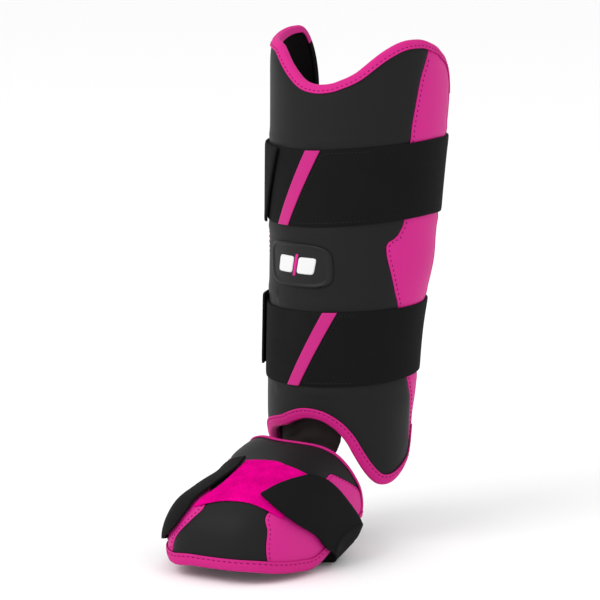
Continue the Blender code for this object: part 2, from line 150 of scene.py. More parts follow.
class ShinForm:
    """Oval shell of the shin guard, with its rims, seams and the dents that the straps press into it."""

    height = 0.401
    width = 0.140
    depth = 0.140
    strap_width = 0.060
    seat = 0.401 * 0.55
    wing = 118.0
    round_angle = 100.0
    round_height = 0.401 * 0.075
    long_round = 0.401 * 0.137
    degree = math.radians(1) * 0.140 * 0.47
    puff = 0.0007
    pinch = 0.0032
    seam_dip = 0.0010

    sections = [
        (0.100, 0.4000, 0.4000, -0.2214), (0.300, 0.4043, 0.4071, -0.2071),
        (0.500, 0.4286, 0.4357, -0.1429), (0.650, 0.4607, 0.4643, -0.0821),
        (0.850, 0.4929, 0.4964, -0.0143), (1.020, 0.5014, 0.5014, 0.0000),
    ]
    top_rim = [
        (-118, 1.0000), (-98, 1.0006), (-91, 0.9998), (-84, 0.9970), (-78, 0.9940), (-71, 0.9905), (-64, 0.9885),
        (-56, 0.9880), (-48, 0.9875), (-42, 0.9860), (-36, 0.9815), (-31.5, 0.9715), (-26.5, 0.9571), (-21, 0.9429),
        (-15, 0.9288), (-11.5, 0.9219), (-6.3, 0.9153), (0.7, 0.9122), (6.7, 0.9132), (12.5, 0.9166), (18, 0.9230),
        (23.4, 0.9300), (28.7, 0.9391), (34, 0.9515), (39, 0.9638), (44.5, 0.9759), (50, 0.9855), (55.6, 0.9930),
        (61.6, 0.9975), (68, 0.9983), (75, 0.9965), (84, 0.9880), (90, 0.9810), (98, 0.9670), (106, 0.9570), (118, 0.9500),
    ]
    bottom_rim = [
        (-118, 0.1700), (-104, 0.1500), (-92, 0.1450), (-78, 0.1600), (-66, 0.1850), (-56, 0.2060),
        (-46, 0.2205), (-33, 0.2310), (-21, 0.2390), (-12, 0.2490), (-2, 0.2580), (7, 0.2595),
        (16, 0.2550), (24, 0.2445), (30, 0.2325), (37, 0.2120), (43, 0.1870), (50, 0.1600), (57, 0.1395),
        (64, 0.1270), (73, 0.1235), (82, 0.1280), (92, 0.1380), (102, 0.1490), (118, 0.1600),
    ]
    seam_line = [
        (0.180, 108.0), (0.227, 105.5), (0.258, 103.0), (0.291, 98.0), (0.324, 91.0), (0.400, 80.0),
        (0.478, 71.0), (0.510, 66.4), (0.547, 61.2), (0.575, 57.2), (0.597, 55.4), (0.607, 56.5),
        (0.615, 61.9), (0.628, 64.8), (0.645, 66.8), (0.720, 66.0), (0.807, 65.7), (0.838, 66.4),
        (0.871, 68.0), (0.904, 70.0), (0.929, 72.2), (0.953, 75.6), (0.975, 79.0), (1.000, 82.5),
    ]
    side_swell = [
        (0.10, -0.0030), (0.20, -0.0028), (0.25, -0.0020), (0.30, -0.0002), (0.35, -0.0010), (0.42, -0.0014),
        (0.48, -0.0004), (0.52, 0.0018), (0.56, 0.0026), (0.60, 0.0012), (0.65, 0.0000), (0.70, -0.0010),
        (0.77, -0.0018), (0.85, -0.0014), (0.92, -0.0018), (1.00, -0.0026),
    ]
    upper_strap = [
        (-30, 0.7085, 1.00), (0, 0.7112, 1.00), (30, 0.7177, 1.00), (60, 0.7237, 1.00),
        (90, 0.7270, 1.00), (119, 0.7230, 1.00), (180, 0.7180, 1.00), (240, 0.7110, 1.00),
        (302, 0.7070, 1.02), (333, 0.7077, 1.02),
    ]
    lower_strap = [
        (-30, 0.3970, 0.98), (0, 0.3982, 0.98), (30, 0.4007, 0.98), (60, 0.4027, 0.97),
        (90, 0.4057, 0.95), (119, 0.4072, 0.94), (180, 0.4070, 0.94), (240, 0.4110, 0.94),
        (302, 0.4150, 0.94), (333, 0.4150, 0.94),
    ]

    def __init__(self) -> None:
        """Turns the tables into curves."""
        self.half_width = Curve(self.sections, 1)
        self.half_depth = Curve(self.sections, 2)
        self.centre = Curve(self.sections, 3)
        self.top = Curve(self.top_rim)
        self.low = Curve(self.bottom_rim)
        self.seam_angle = Curve(self.seam_line)
        self.swell = Curve(self.side_swell)
        self.bands = [(Curve(rows, 1), Curve(rows, 2)) for rows in (self.upper_strap, self.lower_strap)]
        self.limit = self.wing - EDGE / self.width * 115
        self.angles = np.array([self.limit * math.sin(math.radians(k / 5)) for k in range(-450, 451)])
        self.lean = {top: self._lean(top) for top in (True, False)}
        self.seam_heights = np.linspace(0.15, 1.0, 400)
        seams = np.array([self.seam_angle(x) for x in self.seam_heights])
        slope = np.gradient(seams * self.degree, self.seam_heights * self.height)
        self.seam_lean = 1 / np.sqrt(1 + slope ** 2)

    def _lean(self, top: bool) -> np.ndarray:
        """How much shorter the way to a rim is than the drop to it, for each of the angles."""
        heights = np.array([self.rim(a, top, EDGE) for a in self.angles])
        slope = np.gradient(heights, self.angles * self.degree)
        return 1 / np.sqrt(1 + slope ** 2)

    def point(self, angle: float, height: float, out: float) -> Vector:
        """Point of the form.

        Args:
            angle: Angle round the leg, from the front towards the right.
            height: Height above the floor.
            out: Distance off the foam.

        Returns:
            The point in the frame of the part.
        """
        share = height / self.height
        a = self.width * self.half_width(share)
        b = self.depth * self.half_depth(share)
        t = math.radians(angle)
        out += self.swell(share) * ease(angle, 40.0, 110.0) * (1 - ease(angle, 125.0, 200.0))
        nx, ny = b * math.sin(t), -a * math.cos(t)
        n = math.hypot(nx, ny)
        x = a * math.sin(t) + out * nx / n
        y = self.depth * self.centre(share) - b * math.cos(t) + out * ny / n
        return Vector((x, y, height - self.seat))

    def rim(self, angle: float, top: bool, inset: float) -> float:
        """Height of a rim at an angle, rounded down into the back edges of the wings.

        Args:
            angle: Angle round the leg.
            top: The top rim, or else the bottom one.
            inset: Distance that the line lies in from the rim.

        Returns:
            The height above the floor.
        """
        sign = 1 if top else -1
        height = self.height * (self.top if top else self.low)(angle) - sign * inset
        wing = self.wing - inset / self.width * 115
        t = clamp((abs(angle) - self.round_angle) / (wing - self.round_angle), 0.0, 1.0)
        drop = self.long_round if top and angle < 0 else self.round_height
        return height - sign * drop * (1 - math.sqrt(1 - t * t))

    def row(self, angle: float, share: float) -> float:
        """Height of a row of the guard, from 0 at the bottom rim to 1 at the top rim."""
        return mix(self.rim(angle, False, EDGE), self.rim(angle, True, EDGE), share)

    def seam(self, share: float, side: int) -> float:
        """Angle where a row meets the seam of one side, found by halving."""
        low, high = 40.0, self.limit
        for _ in range(26):
            middle = (low + high) / 2
            if middle < self.seam_angle(self.row(side * middle, share) / self.height):
                low = middle
            else:
                high = middle
        return side * low

    def rim_gap(self, angle: float, height: float) -> float:
        """Distance along the skin to the nearest rim or wing edge."""
        up = (self.rim(angle, True, EDGE) - height) * np.interp(angle, self.angles, self.lean[True])
        down = (height - self.rim(angle, False, EDGE)) * np.interp(angle, self.angles, self.lean[False])
        return max(min(up, down, (self.limit - abs(angle)) * self.degree), 0.0)

    def seam_gap(self, angle: float, height: float) -> float:
        """Distance along the skin to the seam of that side."""
        share = height / self.height
        gap = abs(abs(angle) - self.seam_angle(share)) * self.degree
        return gap * float(np.interp(share, self.seam_heights, self.seam_lean))

    def band(self, which: int, angle: float) -> tuple[float, float]:
        """Middle height and half width of a strap where it lies against the guard."""
        turn = angle if angle >= -30 else angle + 360
        centre, width = self.bands[which]
        return self.height * centre(turn), self.strap_width * width(turn) / 2

    def press(self, angle: float, height: float) -> float:
        """Rise of the skin beside the straps and dip below them."""
        rise = 0.0
        for which in (0, 1):
            middle, half = self.band(which, angle)
            beyond = abs(height - middle) - half
            rise -= 0.0004 * (1 - ease(beyond, -0.004, 0.001))
            rise += 0.0006 * math.exp(-((beyond - 0.005) / 0.004) ** 2)
        return rise

    def skin_out(self, angle: float, height: float, rim_gap: float | None = None) -> float:
        """How far the top of the skin stands off the foam.

        Args:
            angle: Angle round the leg.
            height: Height above the floor.
            rim_gap: Distance to the rim, where the caller knows it; the seams are then left out.

        Returns:
            The distance.
        """
        dip = 0.0
        if rim_gap is None:
            rim_gap = self.rim_gap(angle, height)
            dip = self.seam_dip * math.exp(-self.seam_gap(angle, height) / 0.0022)
        out = SKIN_TOP + self.puff - self.pinch * math.exp(-rim_gap / 0.0048) - dip
        return out + self.press(angle, height)

    def lining_out(self, rim_gap: float) -> float:
        """How far the lining stands off the form, squeezed thin at the rims."""
        return -FOAM + 0.0028 * math.exp(-rim_gap / 0.006)


class FootForm:
    """Rounded dome of the foot guard, with its rims and seams."""

    reach = 0.143
    width = 0.118
    hinge_y = 0.140 * -0.536
    shift = 0.118 * -0.042
    side = 69.5
    skin_top = SKIN_TOP + GAP / 2
    puff = 0.0004
    pinch = 0.0020
    seam_dip = 0.0009

    profile = [
        (1.0000, 0.0000), (1.0105, 0.1399), (0.9860, 0.2797), (0.9091, 0.3811), (0.7692, 0.4371),
        (0.5594, 0.4930), (0.3497, 0.5455), (0.1608, 0.5979), (0.0000, 0.6434),
    ]
    ribs = [
        (0, 0.496, 3.7, 3.7), (20, 0.504, 3.1, 3.6), (45, 0.494, 2.5, 3.4), (62, 0.480, 3.9, 3.1),
        (90, 0.449, 4.0, 2.7),
    ]
    rims = [
        (-71, 46, 66), (-69, 35, 80), (-66, 23, 88), (-60, 10, 91), (-52, 6, 88.5), (-44, 5, 85),
        (-36, 4, 82), (-28, 3.4, 79.5), (-14, 4, 76.5), (0, 4, 76), (14, 4, 76.5), (28, 4, 79),
        (36, 3.8, 81), (44, 3, 83), (52, 2.4, 86), (60, 3, 90), (66, 11, 88), (69, 24, 80), (71, 42, 66),
    ]
    seams = [
        (0, -31, 40), (7, -30, 40), (12, -27, 39), (18, -15, 38), (22, -9, 35), (27, -14, 36),
        (34, -24, 38), (45, -33, 41), (56, -38, 42), (62, -42, 42), (67, -47, 47), (75, -53, 53),
        (84, -58, 58), (92, -62, 62),
    ]

    def __init__(self) -> None:
        """Turns the tables into curves."""
        polar = [(math.degrees(math.atan2(z, y)), self.reach * math.hypot(y, z)) for y, z in self.profile]
        self.radius = Curve(polar)
        self.half = Curve(self.ribs, 1)
        self.square = {-1: Curve(self.ribs, 2), 1: Curve(self.ribs, 3)}
        self.front = Curve(self.rims, 1)
        self.back = Curve(self.rims, 2)
        self.seam_sides = {-1: Curve(self.seams, 1), 1: Curve(self.seams, 2)}

    def base(self, across: float, swing: float) -> Vector:
        """Point of the bare dome, both angles in degrees, heights from the floor."""
        r = self.radius(swing)
        half = self.width * self.half(swing)
        square = self.square[1 if across > 0 else -1](swing)
        s, c = math.sin(math.radians(across)), math.cos(math.radians(across))
        k = (abs(s) ** square + abs(c) ** square) ** (-1 / square)
        t = math.radians(swing)
        y = self.hinge_y - r * k * c * math.cos(t)
        return Vector((self.shift + half * k * s, y, r * k * c * math.sin(t)))

    def axes(self, across: float, swing: float) -> tuple[Vector, Vector, Vector]:
        """Ways along the dome for one degree across and one degree of swing, and the outward normal."""
        side = self.base(across + 0.4, swing) - self.base(across - 0.4, swing)
        back = self.base(across, swing + 0.4) - self.base(across, swing - 0.4)
        normal = side.cross(back).normalized()
        if normal.dot(self.base(across, swing) - Vector((self.shift, self.hinge_y, 0))) < 0:
            normal.negate()
        return side / 0.8, back / 0.8, normal

    def point(self, across: float, swing: float, out: float) -> Vector:
        """Point off the dome along its normal, in the frame of the part."""
        at = self.base(across, swing) + out * self.axes(across, swing)[2]
        return Vector((at.x, at.y, at.z - ShinForm.seat))

    def rim(self, across: float, back: bool, inset: float) -> float:
        """Swing angle of the front or back rim, pulled in by a distance."""
        radius = (self.base(across, 40) - self.base(89, 40)).length
        turn = math.degrees(inset / max(radius, 0.02))
        if back:
            return self.back(across) - turn
        return self.front(across) + turn

    def swing(self, across: float, share: float) -> float:
        """Swing angle of a row, from 0 at the front rim to 1 at the back rim."""
        return mix(self.rim(across, False, EDGE), self.rim(across, True, EDGE), share)

    def seam(self, share: float, side: int) -> float:
        """Angle across where a row meets the seam of one side, found by halving."""
        low, high = 0.0, self.side
        for _ in range(24):
            middle = (low + high) / 2
            if middle < side * self.seam_sides[side](self.swing(side * middle, share)):
                low = middle
            else:
                high = middle
        return side * low

    def rim_gap(self, across: float, swing: float) -> float:
        """Distance along the dome to the nearest rim or side edge."""
        side, back, _ = self.axes(across, swing)
        front = (swing - self.rim(across, False, EDGE)) * back.length
        behind = (self.rim(across, True, EDGE) - swing) * back.length
        return max(min(front, behind, (self.side - abs(across)) * side.length), 0.0)

    def seam_gap(self, across: float, swing: float) -> float:
        """Distance along the dome to the seam of that side."""
        sign = 1 if across > 0 else -1
        side, back, _ = self.axes(across, swing)
        line = self.seam_sides[sign]
        slope = (line(swing + 1) - line(swing - 1)) / 2 * side.length / max(back.length, 1e-6)
        return abs(across - line(swing)) * side.length / math.sqrt(1 + slope * slope)

    def skin_out(self, across: float, swing: float, rim_gap: float | None = None) -> float:
        """How far the top of the skin stands off the foam; with a rim_gap the seams are left out."""
        dip = 0.0
        if rim_gap is None:
            rim_gap = self.rim_gap(across, swing)
            dip = self.seam_dip * math.exp(-self.seam_gap(across, swing) / 0.002)
        return self.skin_top + self.puff - self.pinch * math.exp(-rim_gap / 0.0035) - dip

    def lining_out(self, rim_gap: float) -> float:
        """How far the lining stands off the form, squeezed thin at the rims."""
        return -FOAM + 0.0016 * math.exp(-rim_gap / 0.004)


SHIN = ShinForm()
FOOT = FootForm()


class Number:
    """Number socket of a material that takes Python arithmetic."""

    def __init__(self, recipe: "Recipe", socket: bpy.types.NodeSocket) -> None:
        """Keeps the recipe and the socket."""
        self.recipe = recipe
        self.socket = socket

    def _math(self, operation: str, a: "Number | float", b: "Number | float") -> "Number":
        """New Math node on two values."""
        made = self.recipe.node("ShaderNodeMath", {"operation": operation}, {0: a, 1: b})
        return Number(self.recipe, made.outputs[0])

    def __add__(self, other: "Number | float") -> "Number":
        """Sum."""
        return self._math("ADD", self, other)

    def __radd__(self, other: float) -> "Number":
        """Sum with a plain value on the left."""
        return self._math("ADD", other, self)

    def __sub__(self, other: "Number | float") -> "Number":
        """Difference."""
        return self._math("SUBTRACT", self, other)

    def __rsub__(self, other: float) -> "Number":
        """Difference from a plain value."""
        return self._math("SUBTRACT", other, self)

    def __mul__(self, other: "Number | float") -> "Number":
        """Product."""
        return self._math("MULTIPLY", self, other)

    def __rmul__(self, other: float) -> "Number":
        """Product with a plain value on the left."""
        return self._math("MULTIPLY", other, self)

    def __pow__(self, other: float) -> "Number":
        """Power."""
        return self._math("POWER", self, other)

    def wave(self) -> "Number":
        """Sine of the value, moved into 0 to 1."""
        return self._math("SINE", self, 0.0) * 0.5 + 0.5


class Recipe:
    """Node material in the making."""

    def __init__(self, name: str) -> None:
        """Starts an empty material with its shader."""
        self.material = bpy.data.materials.new(name)
        self.material.use_nodes = True
        self.tree = self.material.node_tree
        self.shader = self.tree.nodes["Principled BSDF"]

    def node(self, kind: str, settings: dict, values: dict) -> bpy.types.Node:
        """Adds one node.

        Args:
            kind: Blender's name of the node's type.
            settings: Settings of the node, set before its sockets; stops are a ramp's colours.
            values: Values, links or Numbers for its input sockets, by name or number.

        Returns:
            The new node.
        """
        made = self.tree.nodes.new(kind)
        for key, value in settings.items():
            if key == "stops":
                for stop, (place, shade) in zip(made.color_ramp.elements, value):
                    stop.position = place
                    stop.color = (shade, shade, shade, 1.0)
            else:
                setattr(made, key, value)
        for key, value in values.items():
            self.feed(made.inputs[key], value)
        return made

    def feed(self, socket: bpy.types.NodeSocket, value: object) -> None:
        """Sets a socket or links something into it."""
        if isinstance(value, Number):
            value = value.socket
        if isinstance(value, bpy.types.NodeSocket):
            self.tree.links.new(value, socket)
        else:
            socket.default_value = value

    def noise(self, size: float, detail: float = 3.0, stretch: tuple = (1.0, 1.0, 1.0)) -> Number:
        """Cloudy noise over the object's own coordinates, with blots of about a size."""
        where = self.node("ShaderNodeTexCoord", {}, {}).outputs["Object"]
        turned = self.node("ShaderNodeMapping", {}, {"Vector": where, "Scale": stretch})
        made = self.node("ShaderNodeTexNoise", {}, {
            "Vector": turned.outputs[0], "Scale": 1 / size, "Detail": detail, "Roughness": 0.55})
        return Number(self, made.outputs["Fac"])

    def cells(self, size: float) -> Number:
        """Rounded cells over the object's own coordinates, 0 in the middle of each."""
        where = self.node("ShaderNodeTexCoord", {}, {}).outputs["Object"]
        made = self.node("ShaderNodeTexVoronoi", {}, {"Vector": where, "Scale": 1 / size})
        return Number(self, made.outputs["Distance"])

    def lay(self) -> tuple[Number, Number]:
        """Ways along and across the cloth, in metres."""
        where = self.node("ShaderNodeUVMap", {"uv_map": "cloth"}, {}).outputs[0]
        split = self.node("ShaderNodeSeparateXYZ", {}, {0: where})
        return Number(self, split.outputs[0]), Number(self, split.outputs[1])

    def colors(self, factor: Number, low: tuple, high: tuple) -> bpy.types.NodeSocket:
        """Colour between two by a factor."""
        made = self.node("ShaderNodeMix", {"data_type": "RGBA"}, {
            0: factor, 6: (*low, 1.0), 7: (*high, 1.0)})
        return made.outputs[2]


class Surface(enum.Enum):
    """What the surface of a finish is made of."""

    GRAIN = "fine leather grain"
    RIBS = "ribbed tape"
    ELASTIC = "brushed elastic webbing"
    LOOPS = "napped loop fabric"
    KNIT = "knitted lining"
    MOULD = "moulded rubber"
    THREAD = "twisted thread"
    SMOOTH = "smooth print"


@dataclass(frozen=True)
class Finish:
    """One finish of the guard."""

    name: str
    color: tuple[float, float, float]
    roughness: float
    surface: Surface
    pitch: float = 0.001
    relief: float = 0.0001
    contrast: float = 0.10
    blotch: float = 0.03
    sheen: float = 0.0
    specular: float = 0.5

    def pattern(self, recipe: Recipe) -> Number:
        """Height of the surface's pattern, from 0 to 1."""
        turn = 2 * math.pi / self.pitch
        if self.surface is Surface.GRAIN:
            return recipe.cells(self.pitch) * 0.7 + recipe.noise(self.pitch * 2.5) * 0.5
        if self.surface is Surface.MOULD:
            return recipe.noise(self.pitch)
        if self.surface is Surface.LOOPS:
            return recipe.noise(self.pitch, 4.0) * 0.6 + recipe.cells(self.pitch * 0.9) * 0.5
        if self.surface is Surface.SMOOTH:
            return recipe.noise(self.pitch)
        along, across = recipe.lay()
        if self.surface is Surface.RIBS:
            return (along * turn).wave() * 0.8 + (across * turn).wave() * 0.2
        if self.surface is Surface.THREAD:
            return ((along + across) * turn).wave()
        if self.surface is Surface.KNIT:
            weave = (along * turn).wave() * (across * turn * 1.3).wave()
            return weave * 0.8 + recipe.noise(self.pitch * 3) * 0.3
        rib = (along * turn).wave() * 0.55 + (across * turn * 0.5).wave() * 0.2
        return rib + recipe.noise(self.pitch * 1.2, 4.0) * 0.5

    def material(self) -> bpy.types.Material:
        """Builds the node material of this finish, with painted shade in the hollows of its pattern."""
        recipe = Recipe(self.name)
        height = self.pattern(recipe)
        cloud = recipe.noise(self.blotch, 4.0)
        # Colour is darker where the pattern is low, which is painted shade in its hollows, and varies at random with
        # the cloudy noise.
        hollow_shade_and_mottle = height * 0.55 + cloud * 0.9 - 0.2
        low = tuple(c * (1 - self.contrast) for c in self.color)
        high = tuple(min(c * (1 + self.contrast), 1.0) for c in self.color)
        feed = recipe.feed
        inputs = recipe.shader.inputs
        feed(inputs["Base Color"], recipe.colors(hollow_shade_and_mottle, low, high))
        feed(inputs["Roughness"], cloud * 0.12 + (self.roughness - 0.06))
        inputs["Specular IOR Level"].default_value = self.specular
        if self.sheen:
            inputs["Sheen Weight"].default_value = self.sheen
            inputs["Sheen Roughness"].default_value = 0.6
        bump = recipe.node("ShaderNodeBump", {}, {
            "Strength": 1.0, "Distance": self.relief, "Height": height})
        feed(inputs["Normal"], bump.outputs[0])
        return recipe.material


BLACK_SKIN = Finish("black_skin", (0.0103, 0.0103, 0.0106), 0.52, Surface.GRAIN, 0.0007, 0.00006, 0.10, specular=0.11)
PINK_SKIN = Finish("pink_skin", (0.560, 0.0120, 0.215), 0.55, Surface.GRAIN, 0.0007, 0.00006, 0.05, specular=0.20)
PINK_TAPE = Finish("pink_tape", (0.560, 0.0120, 0.205), 0.72, Surface.RIBS, 0.0009, 0.00010, 0.07, specular=0.20)
PINK_PRINT = Finish("pink_print", (0.470, 0.0110, 0.178), 0.50, Surface.SMOOTH, 0.0020, 0.00003, 0.03, specular=0.20)
LINING = Finish("black_lining", (0.0030, 0.0022, 0.0021), 0.95, Surface.KNIT, 0.0011, 0.00020, 0.30, specular=0.05)
EDGE_TAPE = Finish("black_edge_tape", (0.0036, 0.0034, 0.0034), 0.90, Surface.RIBS, 0.0009, 0.00010, 0.12, specular=0.06)
ELASTIC = Finish("black_elastic", (0.0058, 0.0058, 0.0060), 0.88, Surface.ELASTIC, 0.0011, 0.00016, 0.30, specular=0.09)
LOOP_BLACK = Finish("black_loop", (0.0085, 0.0085, 0.0087), 0.95, Surface.LOOPS, 0.0011, 0.00030, 0.45, specular=0.08)
LOOP_PINK = Finish("magenta_loop", (0.62, 0.0006, 0.200), 0.95, Surface.LOOPS, 0.0015, 0.00060, 0.50, 0.014, specular=0.0)
TONGUE_CLOTH = Finish("tongue_cloth", (0.0190, 0.0150, 0.0150), 0.90, Surface.KNIT, 0.0013, 0.00015, 0.25, specular=0.10)
RUBBER = Finish("black_rubber", (0.0042, 0.0042, 0.0045), 0.48, Surface.MOULD, 0.0009, 0.00004, 0.10, specular=0.25)
WHITE_RUBBER = Finish("white_rubber", (0.70, 0.70, 0.70), 0.50, Surface.MOULD, 0.0009, 0.00003, 0.03)
PINK_RUBBER = Finish("pink_rubber", (0.60, 0.012, 0.23), 0.50, Surface.MOULD, 0.0009, 0.00003, 0.03, specular=0.20)
PINK_THREAD = Finish("magenta_thread", (0.120, 0.003, 0.050), 0.80, Surface.MOULD, 0.0008, 0.00005, 0.10, specular=0.10)
GREY_THREAD = Finish("grey_thread", (0.026, 0.026, 0.027), 0.80, Surface.MOULD, 0.0008, 0.00005, 0.10, specular=0.10)


class Workshop:
    """Makes meshes from grids and thread, and dresses finished pieces."""

    def __init__(self) -> None:
        """Starts with no materials made."""
        self.made: dict[str, bpy.types.Material] = {}

    def finish_of(self, finish: Finish) -> bpy.types.Material:
        """Material of a finish, made once."""
        if finish.name not in self.made:
            self.made[finish.name] = finish.material()
        return self.made[finish.name]

    def grid(self, name: str, columns: Sequence, rows: Sequence, place: Place) -> bpy.types.Object:
        """Sheet of cloth made from a grid put in place point by point.

        Args:
            name: Name of the piece.
            columns: One value for each column of points.
            rows: One value for each row of points.
            place: Gives the point of a column and a row.

        Returns:
            The new object, with a UV map of the cloth in metres.
        """
        bm = bmesh.new()
        lay = bm.loops.layers.uv.new("cloth")
        wide, high = len(columns) - 1, len(rows) - 1
        bmesh.ops.create_grid(bm, x_segments=wide, y_segments=high, size=0.5)
        spots = {}
        points = {}
        for vert in bm.verts:
            spot = (round((vert.co.x + 0.5) * wide), round((vert.co.y + 0.5) * high))
            spots[vert] = spot
            vert.co = place(columns[spot[0]], rows[spot[1]])
            points[spot] = vert.co.copy()
        along, across = [0.0], [0.0]
        for i in range(wide):
            along.append(along[-1] + (points[i + 1, high // 2] - points[i, high // 2]).length)
        for j in range(high):
            across.append(across[-1] + (points[wide // 2, j + 1] - points[wide // 2, j]).length)
        for face in bm.faces:
            face.smooth = True
            for loop in face.loops:
                i, j = spots[loop.vert]
                loop[lay].uv = (along[i], across[j])
        return self.objectify(name, bm)

    def objectify(self, name: str, bm: bmesh.types.BMesh) -> bpy.types.Object:
        """Turns a finished bmesh into an object of the scene."""
        mesh = bpy.data.meshes.new(name)
        bm.to_mesh(mesh)
        bm.free()
        obj = bpy.data.objects.new(name, mesh)
        bpy.context.scene.collection.objects.link(obj)
        return obj

    def thicken(self, obj: bpy.types.Object, thickness: float, edge: float = 0.3) -> bpy.types.Object:
        """Gives a sheet its thickness inwards and rounds its edges.

        Args:
            obj: The sheet.
            thickness: Thickness of the cloth.
            edge: Radius of the rounded edge, as a share of the thickness.

        Returns:
            The same object.
        """
        solid = obj.modifiers.new("thickness", 'SOLIDIFY')
        solid.thickness = thickness
        solid.offset = -1.0
        solid.use_even_offset = True
        bevel = obj.modifiers.new("edges", 'BEVEL')
        bevel.width = thickness * edge
        bevel.segments = 2
        bevel.limit_method = 'ANGLE'
        bevel.angle_limit = math.radians(50)
        bevel.harden_normals = False
        return obj

    def shell(self, name: str, columns: Sequence, rows: Sequence, outer: Place, inner: Place) -> bpy.types.Object:
        """Closed thick body between two surfaces over one grid.

        Args:
            name: Name of the piece.
            columns: One value for each column of points.
            rows: One value for each row of points.
            outer: Gives the points of the outside.
            inner: Gives the points of the inside.

        Returns:
            The new object.
        """
        bm = bmesh.new()
        lay = bm.loops.layers.uv.new("cloth")
        wide, high = len(columns) - 1, len(rows) - 1
        bmesh.ops.create_grid(bm, x_segments=wide, y_segments=high, size=0.5)
        spots = {vert: (round((vert.co.x + 0.5) * wide), round((vert.co.y + 0.5) * high)) for vert in bm.verts}
        for face in bm.faces:
            for loop in face.loops:
                i, j = spots[loop.vert]
                loop[lay].uv = (i * 0.002, j * 0.002)
        copied = bmesh.ops.duplicate(bm, geom=list(bm.faces) + list(bm.edges) + list(bm.verts))
        backs = [item for item in copied["geom"] if isinstance(item, bmesh.types.BMVert)]
        for vert in backs:
            spot = (round((vert.co.x + 0.5) * wide), round((vert.co.y + 0.5) * high))
            vert.co = inner(columns[spot[0]], rows[spot[1]])
        for vert, (i, j) in spots.items():
            vert.co = outer(columns[i], rows[j])
        back_faces = [item for item in copied["geom"] if isinstance(item, bmesh.types.BMFace)]
        bmesh.ops.reverse_faces(bm, faces=back_faces)
        rims = [edge for edge in bm.edges if edge.is_boundary]
        bmesh.ops.bridge_loops(bm, edges=rims)
        bmesh.ops.recalc_face_normals(bm, faces=bm.faces)
        for face in bm.faces:
            face.smooth = True
        return self.objectify(name, bm)

    def thread(self, name: str, runs: Sequence, pitch: float, length: float, width: float) -> bpy.types.Object:
        """Rows of stitches as short grains of thread.

        Args:
            name: Name of the piece.
            runs: Each a list of (point, outward normal) along one row.
            pitch: Distance from stitch to stitch.
            length: Length of a stitch.
            width: Thickness of the thread.

        Returns:
            The new object.
        """
        bm = bmesh.new()
        for run in runs:
            walked = [0.0]
            for (a, _), (b, _) in zip(run, run[1:]):
                walked.append(walked[-1] + (b - a).length)
            count = max(int(walked[-1] / pitch), 1)
            for k in range(count):
                middle = (k + 0.5) * walked[-1] / count
                n = min(max(bisect.bisect_right(walked, middle) - 1, 0), len(run) - 2)
                t = (middle - walked[n]) / max(walked[n + 1] - walked[n], 1e-9)
                at = run[n][0].lerp(run[n + 1][0], t)
                up = run[n][1].lerp(run[n + 1][1], t).normalized()
                way = (run[n + 1][0] - run[n][0]).normalized()
                side = up.cross(way).normalized()
                up = way.cross(side)
                turn = Matrix((way, side, up)).transposed().to_4x4()
                size = Matrix.Diagonal((length / 2, width / 2, width * 0.42, 1.0))
                bmesh.ops.create_uvsphere(bm, u_segments=6, v_segments=5, radius=1.0,
                                          matrix=Matrix.Translation(at) @ turn @ size)
        for face in bm.faces:
            face.smooth = True
        return self.objectify(name, bm)

    def dress(self, obj: bpy.types.Object, finish: Finish, slot: str, *nodes: str) -> bpy.types.Object:
        """Gives a piece its finish, its body and the solids that it stands for."""
        obj.data.materials.append(self.finish_of(finish))
        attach(obj, ROOT)
        if nodes:
            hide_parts(*nodes)
        LOG.info("%s: %d faces", obj.name, len(obj.data.polygons))
        return obj


SHOP = Workshop()


def shin_frame(angle: float, height: float, out: float) -> tuple[Vector, Vector]:
    """Point of the shin form with its outward normal."""
    at = SHIN.point(angle, height, out)
    return at, (SHIN.point(angle, height, out + 0.01) - at).normalized()


def foot_frame(across: float, swing: float, out: float) -> tuple[Vector, Vector]:
    """Point of the foot form with its outward normal."""
    return FOOT.point(across, swing, out), FOOT.axes(across, swing)[2]


